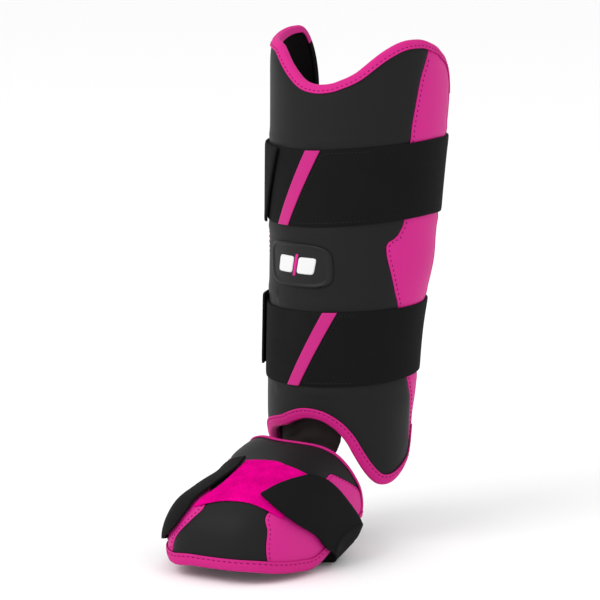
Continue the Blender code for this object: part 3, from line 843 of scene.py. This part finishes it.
@dataclass
class ShinGuard:
    """Padded shell of the shin with its skins, seams and edge tapes."""

    top_lap: float = 0.0042
    bottom_lap: float = 0.0064
    stitch_edge: float = 0.0020
    tape_start: float = -110.0
    stitch_pitch: float = 0.0040
    columns: int = 110
    rows: int = 130
    seam_gap: float = 0.12
    shares: list[float] = field(default_factory=list)

    def build(self) -> None:
        """Makes every piece of the shin guard."""
        self.shares = eased(0, 1, self.rows)
        self.seam_angles = {side: {s: SHIN.seam(s, side) for s in self.shares} for side in (-1, 1)}
        self.core()
        self.face()
        for side, name in ((1, "right"), (-1, "left")):
            self.panel(side, f"side_panel_{name}")
            self.wing_edge(side, name)
        self.binding(True)
        self.binding(False)

    def core(self) -> None:
        """Foam core with the lining on its inner side."""
        def outer(angle: float, share: float) -> Vector:
            height = SHIN.row(angle, share)
            return SHIN.point(angle, height, SHIN.skin_out(angle, height) - SKIN - 0.0003)

        def inner(angle: float, share: float) -> Vector:
            height = SHIN.row(angle, share)
            return SHIN.point(angle, height, SHIN.lining_out(SHIN.rim_gap(angle, height)))
        limit = SHIN.limit
        columns = [limit * math.sin(math.radians(k * 90 / 70)) for k in range(-70, 71)]
        core = SHOP.shell("shin_core", columns, eased(0, 1, 90), outer, inner)
        SHOP.dress(core, LINING, "shin_liner", "shin_liner")

    def face(self) -> None:
        """Black skin between the two seams."""
        def place(t: float, share: float) -> Vector:
            left = self.seam_angles[-1][share] + self.seam_gap
            angle = mix(left, self.seam_angles[1][share] - self.seam_gap, t)
            height = SHIN.row(angle, share)
            return SHIN.point(angle, height, SHIN.skin_out(angle, height))
        face = SHOP.grid("shin_face_skin", eased(0, 1, self.columns), self.shares, place)
        SHOP.thicken(face, SKIN)
        SHOP.dress(face, BLACK_SKIN, "shin_face", "shin_face")

    def panel(self, side: int, node: str) -> None:
        """Pink skin of one side, with the stitches along its seam."""
        def place(t: float, share: float) -> Vector:
            seam = abs(self.seam_angles[side][share]) + self.seam_gap
            angle = side * mix(seam, SHIN.limit, 0.4 * t + 0.6 * math.sin(math.radians(90 * t)))
            height = SHIN.row(angle, share)
            return SHIN.point(angle, height, SHIN.skin_out(angle, height))
        steps = spread(0, 1, 44)
        panel = SHOP.grid(node + "_skin", steps if side > 0 else steps[::-1], self.shares, place)
        SHOP.thicken(panel, SKIN)
        SHOP.dress(panel, PINK_SKIN, node, node)
        run = []
        for share in spread(0.03, 0.965, 150):
            angle = SHIN.seam(share, side)
            height = SHIN.row(angle, share)
            lean = float(np.interp(height / SHIN.height, SHIN.seam_heights, SHIN.seam_lean))
            angle += side * 0.0024 / SHIN.degree / max(lean, 0.5)
            run.append(shin_frame(angle, height, SHIN.skin_out(angle, height) + 0.00012))
        thread = SHOP.thread(node + "_stitches", [run], self.stitch_pitch, 0.0019, 0.0008)
        SHOP.dress(thread, PINK_THREAD, node)

    def profile(self, angle: float, height: float, part: tuple[str, float], lap: float) -> tuple[float, float]:
        """Distance in from the rim and height off the foam for one point of a folded tape."""
        where, t = part
        middle = TAPE / 2 + 0.0003
        over = SHIN.skin_out(angle, height, 0.0) + middle
        under = SHIN.lining_out(0.0) - middle
        if where == "lap":
            inset = t * lap
            dip = 0.00025 * math.exp(-((inset - lap + self.stitch_edge) / 0.0007) ** 2)
            return inset, SHIN.skin_out(angle, height, inset) + middle - dip
        if where == "inside":
            inset = t * lap * 0.8
            return inset, SHIN.lining_out(inset) - middle
        turn = math.radians(t)
        return -(RIM_GAP + TAPE / 2) * math.sin(turn) ** 0.9, (over + under) / 2 + (over - under) / 2 * math.cos(turn)

    def tape_parts(self) -> list[tuple[str, float]]:
        """Points round the section of a folded tape, from the outer lap to the inner one."""
        laps = [("lap", t) for t in (1.0, 0.93, 0.86, 0.8, 0.75, 0.7, 0.62, 0.5, 0.38, 0.26, 0.14, 0.05)]
        turns = [("rim", t) for t in (8, 22, 40, 60, 80, 100, 120, 140, 158, 172)]
        return laps + turns + [("inside", t) for t in (0.05, 0.2, 0.4, 0.6, 0.8, 1.0)]

    def rim_steps(self, top: bool, count: int) -> list[float]:
        """Angles evenly spaced along a rim."""
        fine = [SHIN.limit * 0.9985 * math.sin(math.radians(k * 90 / 600)) for k in range(-600, 601)]
        lengths = [0.0]
        for a, b in zip(fine, fine[1:]):
            rise = SHIN.rim(b, top, EDGE) - SHIN.rim(a, top, EDGE)
            lengths.append(lengths[-1] + math.hypot((b - a) * SHIN.degree, rise))
        return [float(np.interp(x, lengths, fine)) for x in spread(0, lengths[-1], count)]

    def on_rim(self, angle: float, top: bool, inset: float) -> tuple[float, float]:
        """Angle and height of a point a distance in from a rim, square to it."""
        sign = 1 if top else -1
        inside = SHIN.limit - 0.05
        a0, a1 = max(angle - 0.2, -inside), min(angle + 0.2, inside)
        ds = (a1 - a0) * SHIN.degree
        dz = SHIN.rim(a1, top, EDGE) - SHIN.rim(a0, top, EDGE)
        length = math.hypot(ds, dz)
        return angle + sign * inset * dz / length / SHIN.degree, SHIN.rim(angle, top, EDGE) - sign * inset * ds / length

    def binding(self, top: bool) -> None:
        """Tape folded over a rim, with its row of stitches."""
        node = "shin_binding_top" if top else "shin_binding_bottom"
        lap = self.top_lap if top else self.bottom_lap

        def place(angle: float, part: tuple[str, float]) -> Vector:
            inset, out = self.profile(angle, SHIN.rim(angle, top, EDGE), part, lap)
            turned, height = self.on_rim(angle, top, inset)
            return SHIN.point(turned, height, out)
        steps = self.rim_steps(top, 320)
        columns = [angle for angle in steps if not top or angle > self.tape_start]
        self.fold(node + "_tape", columns if top else columns[::-1], self.tape_parts(), place)
        SHOP.dress(bpy.data.objects[node + "_tape"], PINK_TAPE, node, node)
        if top:
            corner = [angle for angle in steps if angle < self.tape_start + 0.5]
            parts = self.tape_parts()
            self.fold("wing_corner_turn", corner, parts[4:18], place)
            SHOP.dress(bpy.data.objects["wing_corner_turn"], PINK_SKIN, "side_panel_left")
            self.fold("wing_corner_hem", corner, parts[17:], place)
            SHOP.dress(bpy.data.objects["wing_corner_hem"], EDGE_TAPE, "shin_liner")
        run = []
        for angle in columns[4:-4]:
            rim = SHIN.rim(angle, top, EDGE)
            inset, out = self.profile(angle, rim, ("lap", 1 - self.stitch_edge / lap), lap)
            turned, height = self.on_rim(angle, top, inset)
            run.append(shin_frame(turned, height, out + TAPE / 2 + 0.0001))
        thread = SHOP.thread(node + "_stitches", [run], self.stitch_pitch, 0.0021, 0.0008)
        SHOP.dress(thread, PINK_THREAD, node)

    def fold(self, name: str, columns: list[float], parts: list, place: Place) -> None:
        """Folded strip of tape along a line of places.

        Args:
            name: Name of the piece.
            columns: Places along the strip.
            parts: Points round its section.
            place: Gives the point of a place and a part of the section.
        """
        strip = SHOP.grid(name, columns, parts, place)
        SHOP.thicken(strip, TAPE, 0.35)
        strip.modifiers["thickness"].offset = 0.0

    def wing_edge(self, side: int, name: str) -> None:
        """Turned back edge of one wing: the pink skin meets the lining in the middle of it."""
        limit = SHIN.limit
        low = SHIN.rim(side * limit * 0.9985, False, EDGE) - 0.0015
        high = SHIN.rim(side * limit * 0.9985, True, EDGE) + 0.0015

        def place(height: float, part: tuple[str, float]) -> Vector:
            inset, out = self.profile(side * limit, height, part, self.top_lap)
            return SHIN.point(side * (limit - inset * 0.7 / SHIN.degree), height, out - 0.0002 * (out > -0.003))
        heights = spread(low, high, 90)
        heights = heights if side < 0 else heights[::-1]
        parts = self.tape_parts()
        halves = (("turn", parts[4:18], PINK_SKIN, f"side_panel_{name}"), ("hem", parts[17:], EDGE_TAPE, "shin_liner"))
        for word, section, finish, slot in halves:
            edge = SHOP.grid(f"wing_{word}_{name}", heights, section, place)
            SHOP.thicken(edge, TAPE * 0.8, 0.35)
            edge.modifiers["thickness"].offset = 0.0
            SHOP.dress(edge, finish, slot)


@dataclass
class WrapStrap:
    """Elastic strap sewn on at the front, round the calf and back onto its loop tab."""

    name: str
    band: int
    start_top: float
    start_low: float
    end_top: float
    end_low: float
    stripe_width: float = 0.0129
    sewn_to: float = 38.0

    def at(self, angle: float, share: float, out: float) -> Vector:
        """Point of the strap: angle along it, share across from its lower to its upper edge."""
        centre, width = SHIN.bands[self.band]
        height = SHIN.height * centre(angle) + SHIN.strap_width * width(angle) * (share - 0.5)
        return SHIN.point(angle, height, out)

    def start(self, share: float) -> float:
        """Angle of the slanted sewn start."""
        return mix(self.start_low, self.start_top, share)

    def top_out(self, angle: float, share: float) -> float:
        """How far the top of the strap stands off the foam."""
        lift = ease(angle, 215, 265)
        under = mix(SKIN_TOP + GAP, SKIN_TOP + LANDING + 2 * GAP, lift)
        edge = min(share, 1 - share) * SHIN.strap_width
        roll = 0.0004 * math.exp(-edge / 0.0016)
        tip = 0.0012 * ease(angle, mix(self.end_low, self.end_top, share) - 14, mix(self.end_low, self.end_top, share))
        loose = 0.0004 * math.sin(math.radians(angle * 5)) * ease(angle, 120, 150) * (1 - ease(angle, 220, 250))
        return under + STRAP - roll + tip + loose

    def build(self) -> None:
        """Makes the strap, its loop tab, the slanted band and the stitches."""
        self.strap()
        self.landing()
        self.stripe()
        self.stitches()

    def strap(self) -> None:
        """The strap itself."""
        def place(t: float, share: float) -> Vector:
            angle = mix(self.start(share) + 0.2, mix(self.end_low, self.end_top, share), t)
            return self.at(angle, share, self.top_out(angle, share))
        strap = SHOP.grid(f"{self.name}_webbing", spread(0, 1, 220), eased(0, 1, 26), place)
        SHOP.thicken(strap, STRAP)
        SHOP.dress(strap, ELASTIC, self.name, self.name)

    def landing(self) -> None:
        """Loop tab on the left that the free end lies on."""
        def place(t: float, share: float) -> Vector:
            angle = mix(-76.0, self.start(share) - 0.2, t)
            edge = min(share, 1 - share) * SHIN.strap_width
            rise = 0.0003 - 0.0005 * math.exp(-edge / 0.0012)
            at = self.at(angle, share, 0.0)
            rise += 0.00012 * noise.noise(at * 900)
            return self.at(angle, share, SKIN_TOP + GAP + LANDING + rise)
        tab = SHOP.grid(f"{self.name.replace('strap', 'landing')}_tab", spread(0, 1, 110), eased(0, 1, 60), place)
        SHOP.thicken(tab, LANDING)
        SHOP.dress(tab, LOOP_BLACK, self.name.replace("strap", "landing"), self.name.replace("strap", "landing"))

    def stripe(self) -> None:
        """Slanted pink band over the sewn start."""
        half = self.stripe_width / SHIN.width * 58
        node = self.name.replace("strap", "stripe")

        def place(t: float, share: float) -> Vector:
            angle = self.start(share) + mix(-half, half, t)
            edge = min(t, 1 - t) * 2 * half * SHIN.degree
            out = SKIN_TOP + GAP + STRAP + 0.0009 - 0.0003 * math.exp(-edge / 0.0008)
            return self.at(angle, mix(0.004, 0.996, share), out)
        stripe = SHOP.grid(f"{node}_band", spread(0, 1, 16), spread(0, 1, 60), place)
        SHOP.thicken(stripe, TAPE)
        SHOP.dress(stripe, PINK_PRINT, node, node)

    def stitches(self) -> None:
        """Stitched box that holds the strap to the guard."""
        half = self.stripe_width / SHIN.width * 58
        inset = 0.0030 / SHIN.strap_width

        def on(angle: float, share: float) -> tuple[Vector, Vector]:
            at = self.at(angle, share, self.top_out(angle, share) + 0.00008)
            return at, (self.at(angle, share, 0.02) - at).normalized()
        low, high = inset, 1 - inset
        first = {share: self.start(share) + half + 2.6 for share in (low, high)}
        runs = [
            [on(a, high) for a in spread(first[high], self.sewn_to, 30)],
            [on(a, low) for a in spread(first[low], self.sewn_to, 40)],
            [on(self.start(s) + half + 2.6, s) for s in spread(low, high, 20)],
        ]
        thread = SHOP.thread(f"{self.name}_stitches", runs, 0.0030, 0.0017, 0.00045)
        SHOP.dress(thread, GREY_THREAD, self.name)


@dataclass
class Badge:
    """Moulded badge with a raised border and a plain blank field."""

    width: float = 0.064
    height: float = 0.034
    middle: float = -9.5
    middle_height: float = 0.401 * 0.56

    def at(self, x: float, z: float, out: float) -> Vector:
        """Point of the badge, x to the right and z up from its middle."""
        scale = math.radians(1) * SHIN.width * 0.455
        return SHIN.point(self.middle + (x - 0.10 * z) / scale, self.middle_height + z, out)

    def plate(self, name: str, size: tuple[float, float], centre: tuple[float, float], lean: float,
              relief: Callable[[float], float], base: float, power: float = 4.0) -> bpy.types.Object:
        """Rounded plate bent round the front of the guard.

        Args:
            name: Name of the piece.
            size: Width and height of the plate.
            centre: Place of its middle on the badge.
            lean: How far its top leans to the right of its foot, as a share of the height.
            relief: Rise of the top at a distance in from the edge.
            base: Distance of the underside off the foam.
            power: Squareness of the outline.

        Returns:
            The new object.
        """
        short = min(size) / 2

        def spot(across: float, up: float) -> tuple[float, float, float]:
            reach = (abs(across) ** power + abs(up) ** power) ** (1 / power)
            most = max(abs(across), abs(up))
            shrink = most / reach if reach > 0 else 1.0
            z = up * shrink * size[1] / 2
            x = across * shrink * size[0] / 2 + lean * z
            return x + centre[0], z + centre[1], (1 - most) * short

        def outer(across: float, up: float) -> Vector:
            x, z, gap = spot(across, up)
            return self.at(x, z, base + relief(gap))

        def inner(across: float, up: float) -> Vector:
            x, z, _ = spot(across, up)
            return self.at(x, z, base)
        count = 60 if size[0] > 0.03 else 30
        return SHOP.shell(name, eased(-1, 1, count, 0.6), eased(-1, 1, 40, 0.6), outer, inner)

    def build(self) -> None:
        """Makes the rubber plate and its plain raised bars."""
        def border(gap: float) -> float:
            lip = ease(gap, 0.0, 0.0008) * 0.0009
            return 0.0014 + lip - 0.0009 * ease(gap, 0.0018, 0.0026)

        def bar(gap: float) -> float:
            return 0.0005 + 0.0006 * ease(gap, 0.0, 0.0006)
        base = SKIN_TOP + GAP * 0.5
        plate = self.plate("badge_plate", (self.width, self.height), (0, 0), 0.0, border, base)
        SHOP.dress(plate, RUBBER, "badge", "badge")
        for n, (place, size, finish) in enumerate([
                ((-0.0100, 0.0), (0.0155, 0.0130), WHITE_RUBBER),
                ((0.0100, 0.0), (0.0155, 0.0130), WHITE_RUBBER),
                ((0.0, 0.0), (0.0026, 0.0170), PINK_RUBBER)]):
            made = self.plate(f"badge_bar_{n + 1}", size, place, 0.25, bar, base + 0.0012, 7.0)
            SHOP.dress(made, finish, "badge")


@dataclass
class AnkleTongue:
    """Cloth from inside the shin guard's arch down into the foot guard."""

    angles: tuple[float, float] = (-82.0, 30.0)
    sides: tuple[float, float] = (-46.0, 34.0)

    def build(self) -> None:
        """Makes the tongue with a few soft creases."""
        out = -FOAM - GAP - TAPE - GAP - TONGUE / 2

        def stops(across: float) -> list[Vector]:
            angle, side = mix(*self.angles, across), mix(*self.sides, across)
            low = SHIN.rim(angle, False, 0.0)
            edge = FOOT.rim(side, True, 0.0)
            return [
                SHIN.point(angle, low + 0.032, out), SHIN.point(angle, low + 0.016, out),
                SHIN.point(angle, low + 0.002, out), SHIN.point(angle, low - 0.010, out - 0.0005),
                FOOT.point(side, edge + 7, out - 0.0020), FOOT.point(side, edge - 3, out - 0.0005),
                FOOT.point(side, edge - 11, out),
            ]
        columns = spread(0, 1, 60)
        tables = {}
        for x in columns:
            spots = stops(x)
            tables[x] = [Curve([(k, spot[axis]) for k, spot in enumerate(spots)]) for axis in range(3)]

        def place(across: float, row: float) -> Vector:
            at = Vector([table(row) for table in tables[across]])
            free = math.exp(-((row - 3.4) / 1.1) ** 2)
            crease = 0.0011 * math.sin(row * 7.0 + across * 5.0) + 0.0009 * math.sin(across * 13 - row * 2.4)
            away = Vector((at.x * 0.6, at.y - 0.01, 0.0)).normalized()
            return at + away * crease * free
        tongue = SHOP.grid("ankle_tongue_cloth", columns, spread(6, 0, 70), place)
        SHOP.thicken(tongue, TONGUE * 0.9)
        tongue.modifiers["thickness"].offset = 0.0
        SHOP.dress(tongue, TONGUE_CLOTH, "ankle_tongue", "ankle_tongue")
        middle = [place(0.5, row) for row in spread(0, 6, 60)]
        across = [place(x, 3.0) for x in columns]
        length = sum((b - a).length for a, b in zip(middle, middle[1:]))
        width = sum((b - a).length for a, b in zip(across, across[1:]))


@dataclass
class FootGuard:
    """Padded dome over the instep with its skins, seams and edge tapes."""

    front_width: float = 0.0077
    back_width: float = 0.0030
    seam_gap: float = 0.12
    shares: list[float] = field(default_factory=list)

    def build(self) -> None:
        """Makes every piece of the foot guard."""
        self.shares = eased(0, 1, 110, 0.5)
        self.seam_angles = {side: {s: FOOT.seam(s, side) for s in self.shares} for side in (-1, 1)}
        self.core()
        self.face()
        self.panel(1, "foot_panel_right")
        self.panel(-1, "foot_panel_left")
        self.binding(False, self.front_width)
        self.binding(True, self.back_width)
        for side, name in ((1, "right"), (-1, "left")):
            self.side_edge(side, name)

    def core(self) -> None:
        """Foam core with the lining on its inner side."""
        def outer(across: float, share: float) -> Vector:
            swing = FOOT.swing(across, share)
            return FOOT.point(across, swing, FOOT.skin_out(across, swing) - SKIN - 0.0003)

        def inner(across: float, share: float) -> Vector:
            swing = FOOT.swing(across, share)
            return FOOT.point(across, swing, FOOT.lining_out(FOOT.rim_gap(across, swing)))
        core = SHOP.shell("foot_core", self.across_steps(90), eased(0, 1, 60, 0.5), outer, inner)
        SHOP.dress(core, LINING, "foot_liner", "foot_liner")

    def across_steps(self, count: int) -> list[float]:
        """Angles across, closer together where the dome turns down."""
        tight = Curve([(0, 0), (0.3, 29), (0.42, 38), (0.6, 48), (0.8, 60), (1.0, FOOT.side)])
        return [math.copysign(tight(abs(x)), x) for x in spread(-1, 1, count)]

    def face(self) -> None:
        """Black skin from the toe rim over the instep to the back rim."""
        def place(t: float, share: float) -> Vector:
            left = self.seam_angles[-1][share] + self.seam_gap
            across = mix(left, self.seam_angles[1][share] - self.seam_gap, t)
            swing = FOOT.swing(across, share)
            return FOOT.point(across, swing, FOOT.skin_out(across, swing))
        face = SHOP.grid("foot_face_skin", eased(0, 1, 80), self.shares, place)
        SHOP.thicken(face, SKIN)
        SHOP.dress(face, BLACK_SKIN, "foot_face", "foot_face")

    def panel(self, side: int, node: str) -> None:
        """Pink skin of one side, with the stitches along its seam."""
        def place(t: float, share: float) -> Vector:
            seam = abs(self.seam_angles[side][share]) + self.seam_gap
            across = side * mix(seam, FOOT.side, t)
            swing = FOOT.swing(across, share)
            return FOOT.point(across, swing, FOOT.skin_out(across, swing))
        steps = eased(0, 1, 46)
        panel = SHOP.grid(node + "_skin", steps if side > 0 else steps[::-1], self.shares, place)
        SHOP.thicken(panel, SKIN)
        SHOP.dress(panel, PINK_SKIN, node, node)
        run = []
        for share in spread(0.05, 0.95, 100):
            across = FOOT.seam(share, side)
            swing = FOOT.swing(across, share)
            across += side * 0.0024 / FOOT.axes(across, swing)[0].length
            run.append(foot_frame(across, swing, FOOT.skin_out(across, swing) + 0.00012))
        thread = SHOP.thread(node + "_stitches", [run], 0.0036, 0.0018, 0.0007)
        SHOP.dress(thread, PINK_THREAD, node)

    def on_rim(self, across: float, back: bool, inset: float) -> tuple[float, float]:
        """Angles of a point a distance in from a rim, square to it."""
        swing = FOOT.rim(across, back, EDGE)
        along = FOOT.base(across + 0.5, FOOT.rim(across + 0.5, back, EDGE))
        along = along - FOOT.base(across - 0.5, FOOT.rim(across - 0.5, back, EDGE))
        side_way, back_way, normal = FOOT.axes(across, swing)
        inward = along.cross(normal) if back else normal.cross(along)
        inward.normalize()
        ways = np.column_stack([tuple(side_way), tuple(back_way)])
        turn = np.linalg.lstsq(ways, np.array(inward * inset), rcond=None)[0]
        return across + float(turn[0]), swing + float(turn[1])

    def profile(self, part: tuple[str, float], width: float) -> tuple[float, float]:
        """Distance in from the rim and height off the foam for one point of a folded tape."""
        where, t = part
        middle = TAPE / 2 + 0.0003
        over = FOOT.skin_out(0, 45, 0.0) + middle
        under = FOOT.lining_out(0.0) - middle
        if where == "lap":
            inset = t * width
            dip = 0.00025 * math.exp(-((inset - width + 0.0022) / 0.0007) ** 2)
            return inset, FOOT.skin_out(0, 45, inset) + middle - dip
        if where == "inside":
            inset = t * width * 0.8
            return inset, FOOT.lining_out(inset) - middle
        turn = math.radians(t)
        return -(RIM_GAP + TAPE / 2) * math.sin(turn) ** 0.9, (over + under) / 2 + (over - under) / 2 * math.cos(turn)

    def binding(self, back: bool, width: float) -> None:
        """Tape folded over the front or the back rim; the front tape also gets its row of stitches."""
        node = "foot_binding_back" if back else "foot_binding_front"

        def place(across: float, part: tuple[str, float]) -> Vector:
            inset, out = self.profile(part, width)
            turned, swing = self.on_rim(across, back, inset)
            return FOOT.point(turned, swing, out)
        steps = [x for x in self.across_steps(240) if abs(x) < (69.2 if back else 67.5)]
        parts = ShinGuard().tape_parts()
        tape = SHOP.grid(node + "_tape", steps if back else steps[::-1], parts, place)
        SHOP.thicken(tape, TAPE, 0.35)
        tape.modifiers["thickness"].offset = 0.0
        SHOP.dress(tape, PINK_TAPE, node, node)
        if back:
            return
        run = []
        for across in steps[3:-3]:
            inset, out = self.profile(("lap", 1 - 0.0022 / width), width)
            turned, swing = self.on_rim(across, back, inset)
            run.append(foot_frame(turned, swing, out + TAPE / 2 + 0.0001))
        thread = SHOP.thread(node + "_stitches", [run], 0.0046, 0.0026, 0.0008)
        SHOP.dress(thread, PINK_THREAD, node)

    def side_edge(self, side: int, name: str) -> None:
        """Tape over the short side edge that rests by the sole."""
        across = side * FOOT.side
        low, high = FOOT.rim(across, False, EDGE), FOOT.rim(across, True, EDGE)

        def place(swing: float, part: tuple[str, float]) -> Vector:
            inset, out = self.profile(part, self.back_width)
            per = FOOT.axes(across, swing)[0].length
            return FOOT.point(side * (FOOT.side - inset / per), swing, out)
        steps = spread(low - 4, high + 4, 50)
        tape = SHOP.grid(f"foot_edge_{name}", steps if side < 0 else steps[::-1], ShinGuard().tape_parts(), place)
        SHOP.thicken(tape, TAPE * 0.9, 0.35)
        tape.modifiers["thickness"].offset = 0.0
        SHOP.dress(tape, PINK_TAPE, "foot_binding_front")


@dataclass
class FootStrap:
    """Strap under the sole and the magenta pad that both its ends lie on."""

    pad_left: tuple = ((0.0, -17.0), (0.13, -13.5), (0.35, -11.0), (0.68, -13.5), (1.0, -15.0))
    pad_right: float = 42.0
    pad_front: tuple = ((-46, 30), (-35, 28), (-26, 24.5), (-18, 21.5), (-7, 23), (4, 24.4), (15, 25),
                        (24, 25), (34, 24), (46, 22))
    pad_back: tuple = ((-46, 49), (-16, 50), (8, 52), (22, 50), (36, 49), (46, 48))
    left: tuple = ((-16, 51, -18.5, 21), (-28, 50, -26, 15), (-40, 48, -38, 11), (-53, 46, -50, 10))
    right: tuple = ((71, 51, 66.5, 12), (68, 54, 62.5, 15), (60, 53, 57, 20), (50, 52, 49, 22), (42, 50, 40, 24),
                    (36, 47, 26, 28))
    under: tuple = ((-0.545, -0.820, 0.150, -1.175, 0.034), (-0.420, -0.790, 0.095, -1.165, 0.030),
                    (0.000, -0.720, 0.080, -1.070, 0.030), (0.390, -0.680, 0.080, -0.890, 0.032),
                    (0.478, -0.672, 0.120, -0.882, 0.042))

    def build(self) -> None:
        """Makes the pad and the strap."""
        self.pad()
        self.strap()

    def pad(self) -> None:
        """Fuzzy pad across the instep."""
        front, back = Curve(self.pad_front), Curve(self.pad_back)

        left = Curve(self.pad_left)

        def place(t: float, share: float) -> Vector:
            across = mix(left(share), self.pad_right, t)
            swing = mix(front(across), back(across), share)
            side, way, _ = FOOT.axes(across, swing)
            gap = min((across - left(share)) * side.length, (self.pad_right - across) * side.length,
                      min(share, 1 - share) * (back(across) - front(across)) * way.length)
            at = FOOT.point(across, swing, 0.0)
            fuzz = 0.00030 * noise.noise(at * 700) + 0.00018 * noise.noise(at * 1900)
            out = FOOT.skin_top + FOOT.puff + 0.0002 + LOOP_PAD - 0.0010 * math.exp(-gap / 0.0009)
            return FOOT.point(across, swing, out + fuzz)
        pad = SHOP.grid("loop_pad_nap", eased(0, 1, 120, 0.2), eased(0, 1, 90, 0.2), place)
        SHOP.thicken(pad, LOOP_PAD)
        SHOP.dress(pad, LOOP_PINK, "loop_pad", "loop_pad")

    def strap(self) -> None:
        """The strap from the pad down the left side, under the sole and up the right side."""
        def laid(table: tuple, share: float, count: int, base: float, bow: float) -> list[Vector]:
            tables = [Curve([(n, row[c]) for n, row in enumerate(table)]) for c in range(4)]
            rows = []
            for k in range(count + 1):
                x = (len(table) - 1) * k / count
                back_across, back_swing, front_across, front_swing = [curve(x) for curve in tables]
                edge = min(share, 1 - share) * 0.060
                over_edge = 0.0018 * ease(x, 0.8, 2.4) * ease(share, 0.55, 0.95)
                lift = over_edge if bow else LOOP_PAD * ease(x, 2.2, 4.0)
                out = base + lift - 0.0005 * math.exp(-edge / 0.0016)
                bowed = bow * math.sin(math.pi * share) * max(1 - x, 0.0)
                rows.append(FOOT.point(mix(back_across, front_across, share) + bowed,
                                       mix(back_swing, front_swing, share), out))
            return rows

        def line(share: float) -> list[Vector]:
            stops = laid(self.left, share, 10, FOOT.skin_top + GAP + STRAP, 4.5)
            for x, back_y, back_z, front_y, front_z in self.under:
                y = FOOT.reach * mix(back_y, front_y, share)
                z = FOOT.reach * mix(back_z, front_z, share)
                stops.append(Vector((FOOT.shift + FOOT.width * x, y, z - STRAP / 2 - SHIN.seat)))
            return stops + laid(self.right, share, 12, FOOT.skin_top + GAP + STRAP, 0.0)
        shares = eased(0, 1, 30, 0.3)
        curves = {}
        for share in shares:
            stops = line(share)
            curves[share] = [Curve([(k, stop[axis]) for k, stop in enumerate(stops)]) for axis in range(3)]
        last = len(line(0.0)) - 1

        def place(along: float, share: float) -> Vector:
            x, y, z = [curve(along) for curve in curves[share]]
            return Vector((x, y, max(z, 0.0004 - SHIN.seat)))
        strap = SHOP.grid("foot_strap_webbing", spread(0, last, last * 6), shares[::-1], place)
        SHOP.thicken(strap, STRAP)
        SHOP.dress(strap, ELASTIC, "foot_strap", "foot_strap")


@dataclass
class Studio:
    """Pale floor, soft lights and the camera at the photograph's angle."""

    azimuth: float = 32.0
    elevation: float = 10.0
    distance: float = 3.0
    lens: float = 230.8
    target: tuple[float, float, float] = (-0.0013, -0.0908, 0.1988 - 0.401 * 0.55)

    def build(self) -> None:
        """Makes the floor, the lights and the camera."""
        self.floor()
        self.lights()
        self.camera()

    def floor(self) -> None:
        """Wide pale floor under the guard."""
        bm = bmesh.new()
        low = CAD_BOX[0].z
        bmesh.ops.create_grid(bm, x_segments=1, y_segments=1, size=30.0, matrix=Matrix.Translation((0, 0, low)))
        floor = SHOP.objectify("floor", bm)
        recipe = Recipe("pale_floor")
        recipe.shader.inputs["Base Color"].default_value = (0.93, 0.93, 0.93, 1.0)
        recipe.shader.inputs["Roughness"].default_value = 0.9
        recipe.shader.inputs["Specular IOR Level"].default_value = 0.1
        floor.data.materials.append(recipe.material)

    def toward(self, azimuth: float, elevation: float) -> Vector:
        """Way from the guard towards a place seen at two angles."""
        a, e = math.radians(azimuth), math.radians(elevation)
        return Vector((math.sin(a) * math.cos(e), -math.cos(a) * math.cos(e), math.sin(e)))

    def lights(self) -> None:
        """White surroundings, a broad key light from the upper left and a weaker fill."""
        world = bpy.data.worlds.new("studio")
        bpy.context.scene.world = world
        world.use_nodes = True
        ground = world.node_tree.nodes["Background"]
        ground.inputs["Color"].default_value = (1.0, 1.0, 1.0, 1.0)
        ground.inputs["Strength"].default_value = 1.02
        for name, azimuth, elevation, size, energy in (
                ("key", self.azimuth - 55, 42, 2.0, 34.0), ("fill", self.azimuth + 20, 70, 2.5, 2.0)):
            data = bpy.data.lights.new(name, 'AREA')
            data.shape = 'DISK'
            data.size = size
            data.energy = energy
            light = bpy.data.objects.new(name, data)
            way = self.toward(azimuth, elevation)
            light.location = Vector(self.target) + way * 3.0
            light.rotation_euler = way.to_track_quat("Z", "Y").to_euler()
            bpy.context.scene.collection.objects.link(light)

    def camera(self) -> None:
        """Camera at the angle and distance of the photograph."""
        data = bpy.data.cameras.new("camera")
        data.lens = self.lens
        data.sensor_width = 36.0
        data.clip_end = 100.0
        camera = bpy.data.objects.new("camera", data)
        way = self.toward(self.azimuth, self.elevation)
        camera.location = Vector(self.target) + way * self.distance
        camera.rotation_mode = 'QUATERNION'
        camera.rotation_quaternion = (-way).to_track_quat("-Z", "Y")
        bpy.context.scene.collection.objects.link(camera)
        bpy.context.scene.camera = camera
        bpy.context.scene.view_settings.view_transform = 'Standard'
        bpy.context.scene.view_settings.look = 'None'


def main() -> None:
    """Builds the guard from the shin down, then the studio."""
    logging.basicConfig(level=logging.INFO, format="%(message)s")
    Studio().build()
    ShinGuard().build()
    WrapStrap("strap_upper", 0, 1.4, -22.1, 333.0, 315.0).build()
    WrapStrap("strap_lower", 1, 19.0, -8.0, 305.0, 302.0).build()
    Badge().build()
    AnkleTongue().build()
    FootGuard().build()
    FootStrap().build()


if __name__ == "__main__":
    main()
